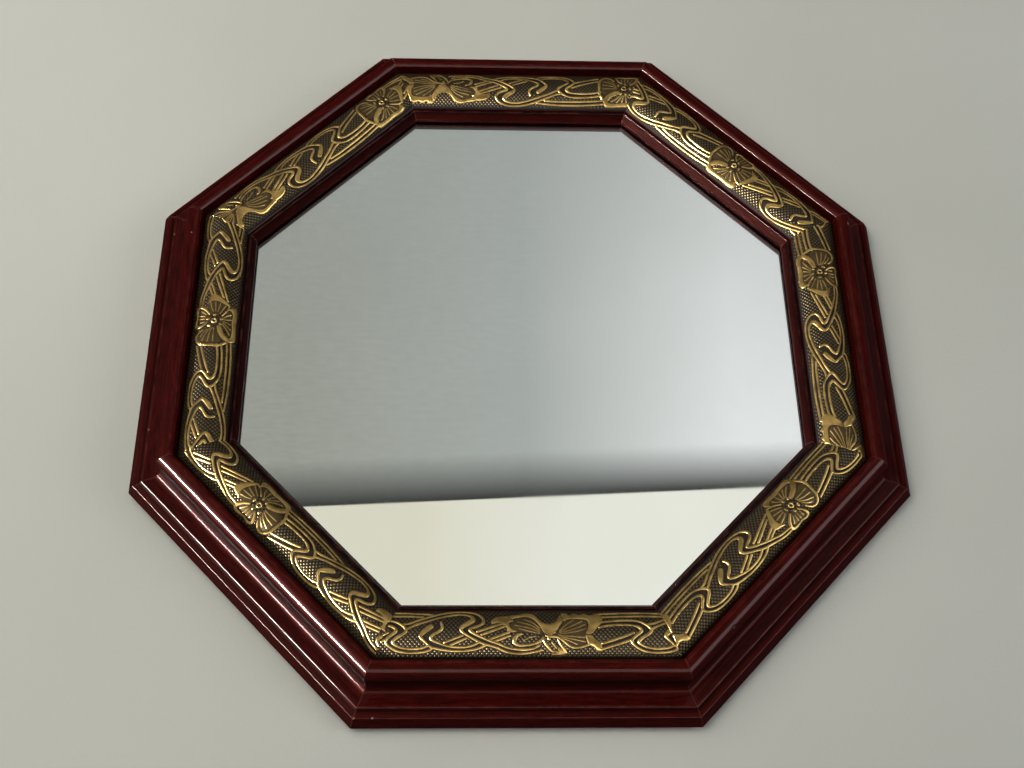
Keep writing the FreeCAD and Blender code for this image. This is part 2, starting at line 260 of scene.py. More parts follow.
class Effects:
    """Shader node groups that several finishes share.

    A span is the part of a noise's values that is stretched to run from 0 to 1.
    """

    STREAK_SPAN = (0.32, 0.70)
    PORE_SPAN = (0.56, 0.68)
    PORE_FINENESS = 4.0
    PATCH_LUMPS = 140.0
    PATCH_SPAN = (0.45, 0.62)
    CLOUD_SPAN = (0.35, 0.66)
    SPECK_SPAN = (0.62, 0.74)
    RAGGED_LUMPS = 1500.0
    RAGGED_SHARE = 0.9
    RAGGED_SPAN = (0.95, 1.3)

    def __init__(self) -> None:
        """Builds each group once."""
        self.grain = self._grain()
        self.wear = self._wear()
        self.mottle = self._mottle()
        self.chip = self._chip()

    @staticmethod
    def _open(name: str, inputs: Mapping[str, str]) -> tuple[Graph, Outputs]:
        """Starts a group.

        Args:
            name: the group's name.
            inputs: input names and socket types.

        Returns:
            The graph and the group's inputs.
        """
        tree = bpy.data.node_groups.new(name, "ShaderNodeTree")
        for label, kind in inputs.items():
            tree.interface.new_socket(label, in_out="INPUT", socket_type=kind)
        graph = Graph(tree)
        return graph, graph.add("NodeGroupInput").outputs

    @staticmethod
    def _close(graph: Graph, values: Mapping[str, Socket]) -> bpy.types.NodeTree:
        """Ends a group.

        Args:
            graph: the group's graph.
            values: what it puts out, by name.

        Returns:
            The finished group.
        """
        for label in values:
            graph.tree.interface.new_socket(label, in_out="OUTPUT", socket_type=FLOAT)
        graph.add("NodeGroupOutput", values)
        return graph.tree

    def _grain(self) -> bpy.types.NodeTree:
        """Wood grain along the Y of its place.

        Returns:
            A group that puts out wide streaks and short dark pores.
        """
        inputs = {"Place": VECTOR, "Lumps across": FLOAT, "Lumps along": FLOAT}
        graph, given = self._open("wood_grain", inputs)
        across, along = given["Lumps across"], given["Lumps along"]
        place = graph.vector("MULTIPLY", given["Place"], graph.joined(across, along, across))
        streak = graph.fit(graph.noise(place, 1.0, MANY_OCTAVES), *self.STREAK_SPAN)
        pore = graph.fit(graph.noise(place, self.PORE_FINENESS, FEW_OCTAVES), *self.PORE_SPAN)
        return self._close(graph, {"Streak": streak, "Pore": pore})

    def _wear(self) -> bpy.types.NodeTree:
        """Rubbed patches along an edge mask.

        Returns:
            A group that puts out how far each place is rubbed.
        """
        graph, given = self._open("edge_wear", {"Edge": FLOAT, "Place": VECTOR, "Amount": FLOAT})
        lumps = graph.noise(given["Place"], self.PATCH_LUMPS, MANY_OCTAVES)
        wear = graph.product(given["Edge"], graph.fit(lumps, *self.PATCH_SPAN), given["Amount"])
        return self._close(graph, {"Wear": wear})

    def _mottle(self) -> bpy.types.NodeTree:
        """Uneven tone.

        Returns:
            A group that puts out broad clouds and fine specks.
        """
        graph, given = self._open("mottle", {"Place": VECTOR, "Clouds": FLOAT, "Specks": FLOAT})
        place = given["Place"]
        cloud = graph.fit(graph.noise(place, given["Clouds"], MANY_OCTAVES), *self.CLOUD_SPAN)
        speck = graph.fit(graph.noise(place, given["Specks"], FEW_OCTAVES), *self.SPECK_SPAN)
        return self._close(graph, {"Cloud": cloud, "Speck": speck})

    def _chip(self) -> bpy.types.NodeTree:
        """A ragged patch about a point.

        Returns:
            A group that puts out the patch's mask.
        """
        inputs = {"Place": VECTOR, "Centre": VECTOR, "Radius": FLOAT, "Bare": FLOAT}
        graph, given = self._open("chip", inputs)
        ends = {0: given["Place"], 1: given["Centre"]}
        away = graph.add("ShaderNodeVectorMath", ends, operation="DISTANCE").outputs["Value"]
        share = graph.maths("DIVIDE", away, given["Radius"])
        lumps = graph.noise(given["Place"], self.RAGGED_LUMPS, FEW_OCTAVES)
        ragged = graph.maths("MULTIPLY_ADD", lumps, self.RAGGED_SHARE, share)
        mask = graph.product(graph.fit(ragged, *self.RAGGED_SPAN, 1.0, 0.0), given["Bare"])
        return self._close(graph, {"Mask": mask})

    def mottled(self, graph: Graph, clouds: float, specks: float) -> Outputs:
        """Places the mottle on a piece's own coordinates, with both sizes in lumps per metre."""
        values = {"Place": graph.object_place(), "Clouds": clouds, "Specks": specks}
        return graph.group(self.mottle, values)


def new_material(name: str) -> tuple[bpy.types.Material, Graph]:
    """Makes an empty node material.

    Args:
        name: the material's name.

    Returns:
        The material and its graph.
    """
    material = bpy.data.materials.new(name)
    material.use_nodes = True
    material.node_tree.nodes.clear()
    return material, Graph(material.node_tree)


def surface(graph: Graph, inputs: Mapping) -> None:
    """Ends a material in a Principled shader with these values and links."""
    shader = graph.made("ShaderNodeBsdfPrincipled", inputs)
    graph.add("ShaderNodeOutputMaterial", {"Surface": shader})


@dataclass(frozen=True)
class Lacquer:
    """Mahogany-red gloss lacquer: dark pores along each rail, rubbed arrises, chips that show bare wood.

    Painted shade darkens the inner lip, the riser under the bead and a crease of the ledge.
    Their places are pairs of apothems or of heights over the floor.
    """

    red: Colour = (0.060, 0.0038, 0.0028)
    shade: Colour = (0.022, 0.0016, 0.0011)
    pore: Colour = (0.004, 0.0008, 0.0007)
    rubbed: Colour = (0.11, 0.032, 0.022)
    bare: Colour = (0.60, 0.42, 0.32)
    sheen: Colour = (1.0, 0.25, 0.20)
    specular: float = 0.035
    roughness: float = 0.42
    bare_roughness: float = 0.8
    coat: float = 0.12
    coat_roughness: float = 0.07
    lumps_across: float = 620.0
    lumps_along: float = 70.0
    pore_depth: float = 0.85
    arris_wear: float = 0.25
    mitre_wear: float = 0.7
    lip_shade_apothems: Point = (170.5, 171.2)
    lip_shade_heights: Point = (22.5, 24.8)
    lip_shade_depths: Point = (0.5, 0.95)
    under_bead_shade_rise: Point = (17.0, 22.6)
    under_bead_shade_fall: Point = (25.0, 26.6)
    under_bead_shade_apothems: Point = (207.0, 208.8)
    ledge_shade_rise: Point = (221.2, 222.1)
    ledge_shade_fall: Point = (222.5, 224.2)
    ledge_shade_heights: Point = (4.0, 6.0)
    groove_shade_depth: float = 0.85
    cove_apothems: Point = (213.5, 216.0)
    cove_heights: Point = (18.0, 22.0)
    cove_dullness: float = 0.7

    def material(self, effects: Effects) -> bpy.types.Material:
        """Makes the finish.

        Args:
            effects: the shared node groups.

        Returns:
            The material.
        """
        material, graph = new_material("mahogany_lacquer")
        place = graph.attribute("rail_place", "Vector")
        out, _, up = graph.parts(place)
        lumps = {"Lumps across": self.lumps_across, "Lumps along": self.lumps_along}
        grain = graph.group(effects.grain, {"Place": place, **lumps})
        rubbing = {"Edge": graph.attribute("arris"), "Place": place, "Amount": self.arris_wear}
        wear = graph.group(effects.wear, rubbing)["Wear"]
        chip = self.chips(graph, effects, place)
        colour = graph.blend(grain["Streak"], self.shade, self.red)
        colour = graph.blend(graph.product(grain["Pore"], self.pore_depth), colour, self.pore)
        # Painted shade: the quirk and the inner lip darken towards the pore colour, most near their top.
        lip_shade = graph.fit(out, *metres(self.lip_shade_apothems), 1.0, 0.0)
        lip_shade = graph.product(lip_shade, graph.fit(up, *metres(self.lip_shade_heights), *self.lip_shade_depths))
        colour = graph.blend(lip_shade, colour, self.pore)
        # Painted shade: the riser under the bead and the crease in the ledge darken towards the pore
        # colour.
        bead = graph.stretch(up, self.under_bead_shade_rise, self.under_bead_shade_fall)
        bead = graph.product(bead, graph.fit(out, *metres(self.under_bead_shade_apothems)))
        ledge_shade = graph.stretch(out, self.ledge_shade_rise, self.ledge_shade_fall)
        ledge_shade = graph.product(ledge_shade, graph.fit(up, *metres(self.ledge_shade_heights)))
        groove = graph.product(graph.maths("MAXIMUM", bead, ledge_shade), self.groove_shade_depth)
        colour = graph.blend(groove, colour, self.pore)
        colour = graph.blend(wear, colour, self.rubbed)
        mitre = graph.product(graph.attribute("mitre"), self.mitre_wear)
        colour = graph.blend(mitre, colour, self.rubbed)
        colour = graph.blend(chip, colour, self.bare)
        cove = graph.fit(out, *metres(self.cove_apothems), self.cove_dullness, 0.0)
        cove = graph.product(cove, graph.fit(up, *metres(self.cove_heights), 1.0, 0.0))
        surface(graph, {
            "Base Color": colour,
            "Roughness": graph.spread(chip, self.roughness, self.bare_roughness),
            "Specular IOR Level": self.specular,
            "Specular Tint": (*self.sheen, 1.0),
            "Coat Weight": graph.spread(graph.maths("MAXIMUM", chip, cove), self.coat, 0.0),
            "Coat Roughness": self.coat_roughness,
        })
        return material

    @staticmethod
    def chips(graph: Graph, effects: Effects, place: Socket) -> Socket:
        """Collects every knock on the rails.

        Args:
            graph: the material's graph.
            effects: the shared node groups.
            place: the place along the rail.

        Returns:
            A mask of the wood laid bare.
        """
        chip = 0.0
        for knock in CHIPS:
            values = {"Centre": knock.centre * MM, "Radius": knock.radius * MM, "Bare": knock.bare}
            mask = graph.group(effects.chip, {"Place": place, **values})["Mask"]
            chip = graph.maths("MAXIMUM", chip, mask)
        return chip


@dataclass(frozen=True)
class AntiqueBrass:
    """Pressed brass, dark with patina in the hollows and painted shade along its edges, rubbed to gold on
    what stands up.
    """

    gold: Colour = (0.50, 0.335, 0.112)
    ochre: Colour = (0.26, 0.163, 0.05)
    patina: Colour = (0.034, 0.0265, 0.0165)
    wax_and_shade: Colour = (0.005, 0.0042, 0.003)
    clouds: float = 160.0
    specks: float = 1100.0
    hollow_wax_and_edge_shade: float = 0.9
    speck_wax: float = 0.5
    half_gilt: float = 0.6
    metal: Point = (0.75, 0.78)
    hollow_and_edge_metal: float = 0.1
    roughness: Point = (0.35, 0.28)
    hollow_and_edge_roughness: float = 0.3
    specular: float = 0.06

    def material(self, effects: Effects) -> bpy.types.Material:
        """Makes the finish.

        Args:
            effects: the shared node groups.

        Returns:
            The material.
        """
        material, graph = new_material("antique_brass")
        gilt, hollow_and_edge_shade = graph.attribute("gilt"), graph.attribute("hollow_and_edge_shade")
        mottle = effects.mottled(graph, self.clouds, self.specks)
        gold = graph.blend(mottle["Cloud"], self.ochre, self.gold)
        colour = graph.blend(gilt, self.patina, gold)
        # Wax patina in the hollows, and painted shade along the strip's edges.
        colour = graph.blend(graph.product(hollow_and_edge_shade, self.hollow_wax_and_edge_shade), colour, self.wax_and_shade)
        colour = graph.blend(graph.product(mottle["Speck"], self.speck_wax), colour, self.wax_and_shade)
        metal = graph.fit(gilt, 0.0, self.half_gilt, *self.metal)
        metal = graph.product(metal, graph.spread(hollow_and_edge_shade, 1.0, self.hollow_and_edge_metal))
        roughness = graph.spread(gilt, *self.roughness)
        surface(graph, {
            "Base Color": colour,
            "Metallic": metal,
            "Roughness": graph.maths("MULTIPLY_ADD", hollow_and_edge_shade, self.hollow_and_edge_roughness, roughness),
            "Specular IOR Level": self.specular,
        })
        return material


@dataclass(frozen=True)
class ClearGlass:
    """Float glass with a trace of green and faint wiping marks."""

    tint: Colour = (0.975, 0.99, 0.98)
    bending: float = 1.5
    clouds: float = 14.0
    specks: float = 380.0
    marks: float = 0.04

    def material(self, effects: Effects) -> bpy.types.Material:
        """Makes the finish.

        Args:
            effects: the shared node groups.

        Returns:
            The material.
        """
        material, graph = new_material("float_glass")
        mottle = effects.mottled(graph, self.clouds, self.specks)
        surface(graph, {
            "Base Color": (*self.tint, 1.0),
            "Roughness": graph.spread(mottle["Speck"], 0.0, self.marks),
            "IOR": self.bending,
            "Transmission Weight": 1.0,
        })
        return material


@dataclass(frozen=True)
class Hardboard:
    """Pressed fibre board: brown, with darker fibres."""

    brown: Colour = (0.23, 0.125, 0.06)
    fibre: Colour = (0.11, 0.058, 0.028)
    fibre_depth: float = 0.6
    clouds: float = 220.0
    specks: float = 900.0
    lumps_across: float = 500.0
    lumps_along: float = 160.0
    roughness: Point = (0.62, 0.8)
    relief: float = 0.3
    relief_strength: float = 0.6

    def material(self, effects: Effects) -> bpy.types.Material:
        """Makes the finish.

        Args:
            effects: the shared node groups.

        Returns:
            The material.
        """
        material, graph = new_material("hardboard")
        cloud = effects.mottled(graph, self.clouds, self.specks)["Cloud"]
        lumps = {"Lumps across": self.lumps_across, "Lumps along": self.lumps_along}
        grain = graph.group(effects.grain, {"Place": graph.object_place(), **lumps})
        colour = graph.blend(cloud, self.fibre, self.brown)
        surface(graph, {
            "Base Color": graph.blend(graph.product(grain["Pore"], self.fibre_depth), colour, self.fibre),
            "Roughness": graph.spread(cloud, *self.roughness),
            "Normal": graph.bump(cloud, self.relief, self.relief_strength),
        })
        return material


@dataclass(frozen=True)
class Mottled:
    """An uneven finish: a tone that turns to another in clouds, with specks of the first."""

    name: str
    tone: Colour
    cloud: Colour
    clouds: float
    specks: float
    roughness: Point
    metal: float = 1.0
    cloud_share: float = 1.0
    speck_share: float = 0.0
    relief: float = 0.0

    def material(self, effects: Effects) -> bpy.types.Material:
        """Makes the finish.

        Args:
            effects: the shared node groups.

        Returns:
            The material.
        """
        material, graph = new_material(self.name)
        mottle = effects.mottled(graph, self.clouds, self.specks)
        colour = graph.blend(graph.product(mottle["Cloud"], self.cloud_share), self.tone, self.cloud)
        inputs = {
            "Base Color": graph.blend(graph.product(mottle["Speck"], self.speck_share), colour, self.tone),
            "Metallic": self.metal,
            "Roughness": graph.spread(mottle["Cloud"], *self.roughness),
        }
        if self.relief:
            inputs["Normal"] = graph.bump(mottle["Speck"], self.relief)
        surface(graph, inputs)
        return material


SILVERING = Mottled(
    "mirror_silver",
    tone=(0.90, 0.915, 0.905),
    cloud=(0.80, 0.82, 0.80),
    clouds=9.0,
    specks=420.0,
    roughness=(0.0, 0.03),
    cloud_share=0.4,
)
ZINC = Mottled(
    "zinc_steel",
    tone=(0.34, 0.35, 0.36),
    cloud=(0.62, 0.63, 0.64),
    clouds=300.0,
    specks=1200.0,
    roughness=(0.5, 0.32),
    speck_share=0.4,
)
PLATED = Mottled(
    "plated_steel",
    tone=(0.50, 0.44, 0.32),
    cloud=(0.72, 0.66, 0.52),
    clouds=420.0,
    specks=1680.0,
    roughness=(0.34, 0.18),
    speck_share=0.4,
)
RUBBER = Mottled(
    "pad_rubber",
    tone=(0.018, 0.018, 0.019),
    cloud=(0.06, 0.06, 0.06),
    clouds=700.0,
    specks=3000.0,
    roughness=(0.6, 0.85),
    metal=0.0,
    relief=0.08,
)


class Finishes:
    """Every material of the mirror, made once."""

    def __init__(self, effects: Effects) -> None:
        """Makes the materials.

        Args:
            effects: the shared node groups.
        """
        self.lacquer = Lacquer().material(effects)
        self.brass = AntiqueBrass().material(effects)
        self.silver = SILVERING.material(effects)
        self.glass = ClearGlass().material(effects)
        self.board = Hardboard().material(effects)
        self.zinc = ZINC.material(effects)
        self.plated = PLATED.material(effects)
        self.rubber = RUBBER.material(effects)


def new_object(name: str, mesh: bpy.types.Mesh) -> bpy.types.Object:
    """Links a mesh to the scene.

    Args:
        name: the object's name.
        mesh: its mesh.

    Returns:
        The object, at the origin.
    """
    piece = bpy.data.objects.new(name, mesh)
    bpy.context.scene.collection.objects.link(piece)
    return piece


def new_mesh(name: str, points: np.ndarray, faces: Sequence[Sequence[int]]) -> bpy.types.Mesh:
    """Makes a mesh from millimetres.

    Args:
        name: the mesh's name.
        points: corners in millimetres.
        faces: corner numbers of each face, outward.

    Returns:
        The mesh, in metres and shaded smooth.
    """
    mesh = bpy.data.meshes.new(name)
    mesh.from_pydata((np.asarray(points, dtype=float) * MM).tolist(), [], faces)
    mesh.shade_smooth()
    return mesh


def closed_line(name: str, points: np.ndarray) -> bpy.types.Mesh:
    """Makes a guide for a recipe.

    Args:
        name: the mesh's name.
        points: the line's points in millimetres, in order.

    Returns:
        A mesh of edges that comes back to its start, in metres.
    """
    mesh = bpy.data.meshes.new(name)
    edges = [(n, (n + 1) % len(points)) for n in range(len(points))]
    mesh.from_pydata((points * MM).tolist(), edges, [])
    return mesh


def store(mesh: bpy.types.Mesh, name: str, values: np.ndarray) -> None:
    """Stores a number at each point of a mesh."""
    mesh.attributes.new(name, "FLOAT", "POINT").data.foreach_set("value", values)


def crisp(mesh: bpy.types.Mesh, degrees: float = 34.0) -> None:
    """Shades a mesh smooth but keeps edges that turn by more than an angle sharp."""
    mesh.shade_smooth()
    mesh.set_sharp_from_angle(angle=math.radians(degrees))


def fasten(piece: bpy.types.Object, body: str, slot: Slot, *nodes: str) -> None:
    """Tells the frame what a piece rides on and which nodes it stands for.

    Args:
        piece: the finished piece.
        body: the body that carries it.
        slot: the record's material slot; not used.
        nodes: the nodes it replaces.
    """
    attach(piece, body)
    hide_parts(*nodes)
    LOG.info("%s: %d faces, for %s", piece.name, len(piece.data.polygons), ", ".join(nodes))


def dress(node: str, finish: bpy.types.Material) -> None:
    """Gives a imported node, whose shape stays, its finish.

    Args:
        node: the node.
        finish: its material.
    """
    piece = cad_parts[node]
    piece.data.materials.clear()
    piece.data.materials.append(finish)
    LOG.info("%s: packed shape in %s", node, finish.name)


class Recipe:
    """A Geometry Nodes tree with named inputs that turns a drawn guide into a finished mesh."""

    def __init__(self, name: str, inputs: Mapping[str, str]) -> None:
        """Opens the tree.

        Args:
            name: the tree's name.
            inputs: input names and socket types.
        """
        tree = bpy.data.node_groups.new(name, "GeometryNodeTree")
        tree.interface.new_socket("Geometry", in_out="INPUT", socket_type="NodeSocketGeometry")
        for label, kind in {**inputs, "Finish": MATERIAL}.items():
            tree.interface.new_socket(label, in_out="INPUT", socket_type=kind)
        tree.interface.new_socket("Geometry", in_out="OUTPUT", socket_type="NodeSocketGeometry")
        self.graph = Graph(tree)
        self.given = self.graph.add("NodeGroupInput").outputs

    def close(self, geometry: Socket) -> None:
        """Ends the tree.

        Args:
            geometry: what the tree has made.
        """
        whole = self.graph.made("GeometryNodeRealizeInstances", {"Geometry": geometry})
        inputs = {"Geometry": whole, "Material": self.given["Finish"]}
        dressed = self.graph.made("GeometryNodeSetMaterial", inputs)
        self.graph.add("NodeGroupOutput", {"Geometry": dressed})

    def make(self, name: str, guide: bpy.types.Mesh, values: Mapping[str, object]) -> bpy.types.Object:
        """Runs the tree on a guide.

        Args:
            name: the new piece's name.
            guide: the drawn guide.
            values: values of the tree's inputs by name.

        Returns:
            The piece with a plain mesh and no modifier.
        """
        piece = new_object(name, guide)
        modifier = piece.modifiers.new(name, "NODES")
        modifier.node_group = self.graph.tree
        for item in self.graph.tree.interface.items_tree:
            if item.in_out == "INPUT" and item.name in values:
                modifier[item.identifier] = values[item.name]
        depsgraph = bpy.context.evaluated_depsgraph_get()
        made = bpy.data.meshes.new_from_object(
            piece.evaluated_get(depsgraph), preserve_all_data_layers=True, depsgraph=depsgraph
        )
        piece.modifiers.clear()
        piece.data = made
        made.name = name
        return piece


class Recipes:
    """The Geometry Nodes trees of the mirror."""

    PATH_END = 0.9999

    def __init__(self) -> None:
        """Builds each tree once."""
        self.moulding = self._moulding()
        self.turned = self._turned()
        self.row = self._row()
        self.wire = self._wire()

    def _moulding(self) -> Recipe:
        """A stick of moulding: its section swept along the rail, each fibre as long as its mitre allows.

        Returns:
            The recipe; its guide is the section as a closed line.
        """
        recipe = Recipe("mitred_moulding", {
            "Mitre slope": FLOAT,
            "Steps": WHOLE,
            "Crowding": FLOAT,
            "Ease": FLOAT,
            "Line width": FLOAT,
            "Clockwise gap": FLOAT,
            "Anticlockwise gap": FLOAT,
            "Turn": FLOAT,
            "Grain shift": FLOAT,
        })
        graph, given = recipe.graph, recipe.given
        section = graph.made("GeometryNodeMeshToCurve", {"Mesh": given["Geometry"]})
        straight = graph.made("GeometryNodeCurvePrimitiveLine", {"Start": (0, -1, 0), "End": (0, 1, 0)})
        path = graph.made("GeometryNodeResampleCurve", {"Curve": straight, "Count": given["Steps"]})
        sweep = {"Curve": path, "Profile Curve": section, "Fill Caps": True}
        stick = graph.made("GeometryNodeCurveToMesh", sweep)
        place = graph.made("GeometryNodeInputPosition")
        out, raw, up = graph.parts(place)
        size = graph.maths("ABSOLUTE", raw)
        drop = graph.product(given["Ease"], -math.sqrt(2))
        facing = graph.made("GeometryNodeInputNormal")
        eased = graph.made("GeometryNodeSetPosition", {
            "Geometry": stick,
            "Selection": graph.maths("GREATER_THAN", size, self.PATH_END),
            "Offset": graph.vector("MULTIPLY", facing, graph.joined(drop, 0.0, drop)),
        })
        left = graph.maths("POWER", graph.maths("SUBTRACT", 1.0, size), given["Crowding"])
        along = graph.product(graph.maths("SIGN", raw), graph.maths("SUBTRACT", 1.0, left))
        far = graph.maths("GREATER_THAN", raw, 0.0)
        spread = graph.maths("SUBTRACT", given["Anticlockwise gap"], given["Clockwise gap"])
        gap = graph.maths("MULTIPLY_ADD", far, spread, given["Clockwise gap"])
        reach = graph.maths("SUBTRACT", graph.product(out, given["Mitre slope"]), gap)
        close = graph.fit(graph.product(left, reach), 0.0, given["Line width"], 1.0, 0.0)
        lined = self._stored(graph, eased, "mitre", close, "FLOAT")
        mitred = graph.joined(out, graph.product(along, reach), up)
        cut = graph.made("GeometryNodeSetPosition", {"Geometry": lined, "Position": mitred})
        grain = graph.vector("ADD", place, graph.joined(0.0, given["Grain shift"], 0.0))
        placed = self._stored(graph, cut, "rail_place", grain, "FLOAT_VECTOR")
        turn = graph.joined(0.0, 0.0, given["Turn"])
        recipe.close(graph.made("GeometryNodeTransform", {"Geometry": placed, "Rotation": turn}))
        return recipe

    @staticmethod
    def _stored(graph: Graph, geometry: Socket, name: str, value: Socket, kind: str) -> Socket:
        """Keeps a value at each point as a named attribute of the given kind."""
        inputs = {"Geometry": geometry, "Name": name, "Value": value}
        return graph.made("GeometryNodeStoreNamedAttribute", inputs, data_type=kind, domain="POINT")

    @staticmethod
    def _turned() -> Recipe:
        """Copies of a part turned about the mirror's centre.

        Returns:
            The recipe; its guide is the part at angle 0.
        """
        recipe = Recipe("turned_copies", {"Copies": WHOLE, "First turn": FLOAT})
        graph, given = recipe.graph, recipe.given
        points = graph.made("GeometryNodePoints", {"Count": given["Copies"]})
        step = graph.maths("DIVIDE", math.tau, given["Copies"])
        index = graph.made("GeometryNodeInputIndex")
        angle = graph.maths("MULTIPLY_ADD", index, step, given["First turn"])
        turn = graph.joined(0.0, 0.0, angle)
        inputs = {"Points": points, "Instance": given["Geometry"], "Rotation": turn}
        recipe.close(graph.made("GeometryNodeInstanceOnPoints", inputs))
        return recipe

    @staticmethod
    def _row() -> Recipe:
        """Copies of a part set out in a straight row.

        Returns:
            The recipe; its guide is the part at the origin.
        """
        recipe = Recipe("row_of_copies", {"Copies": WHOLE, "First place": VECTOR, "Step": VECTOR})
        graph, given = recipe.graph, recipe.given
        index = graph.made("GeometryNodeInputIndex")
        far = graph.made("ShaderNodeVectorMath", {0: given["Step"], "Scale": index}, operation="SCALE")
        place = graph.vector("ADD", given["First place"], far)
        points = graph.made("GeometryNodePoints", {"Count": given["Copies"], "Position": place})
        inputs = {"Points": points, "Instance": given["Geometry"]}
        recipe.close(graph.made("GeometryNodeInstanceOnPoints", inputs))
        return recipe

    @staticmethod
    def _wire() -> Recipe:
        """Round wire bent along a drawn line.

        Returns:
            The recipe; its guide is the wire's closed centre line.
        """
        recipe = Recipe("bent_wire", {"Wire radius": FLOAT, "Wire sides": WHOLE})
        graph, given = recipe.graph, recipe.given
        path = graph.made("GeometryNodeMeshToCurve", {"Mesh": given["Geometry"]})
        inputs = {"Resolution": given["Wire sides"], "Radius": given["Wire radius"]}
        circle = graph.made("GeometryNodeCurvePrimitiveCircle", inputs)
        recipe.close(graph.made("GeometryNodeCurveToMesh", {"Curve": path, "Profile Curve": circle}))
        return recipe


class Corner(NamedTuple):
    """A corner of the moulding's section, with the arc that follows it and how much it is rounded."""

    apothem: float
    height: float
    rise: float = 0.0
    soft: float = 0.0


def arc(start: np.ndarray, end: np.ndarray, rise: float, steps: int) -> np.ndarray:
    """Points of a circular arc.

    Args:
        start: first end.
        end: other end.
        rise: height of the arc over its chord, to the right of the way it runs.
        steps: number of stretches.

    Returns:
        The points from start to end.
    """
    chord = np.hypot(*(end - start))
    half = 2 * math.atan2(2 * rise, chord)
    radius = chord / (2 * math.sin(half))
    way = (end - start) / chord
    aside = np.array([way[1], -way[0]])
    angle = np.linspace(-half, half, steps + 1)[:, None]
    over = aside * radius * (np.cos(angle) - math.cos(half))
    return (start + end) / 2 + way * radius * np.sin(angle) + over


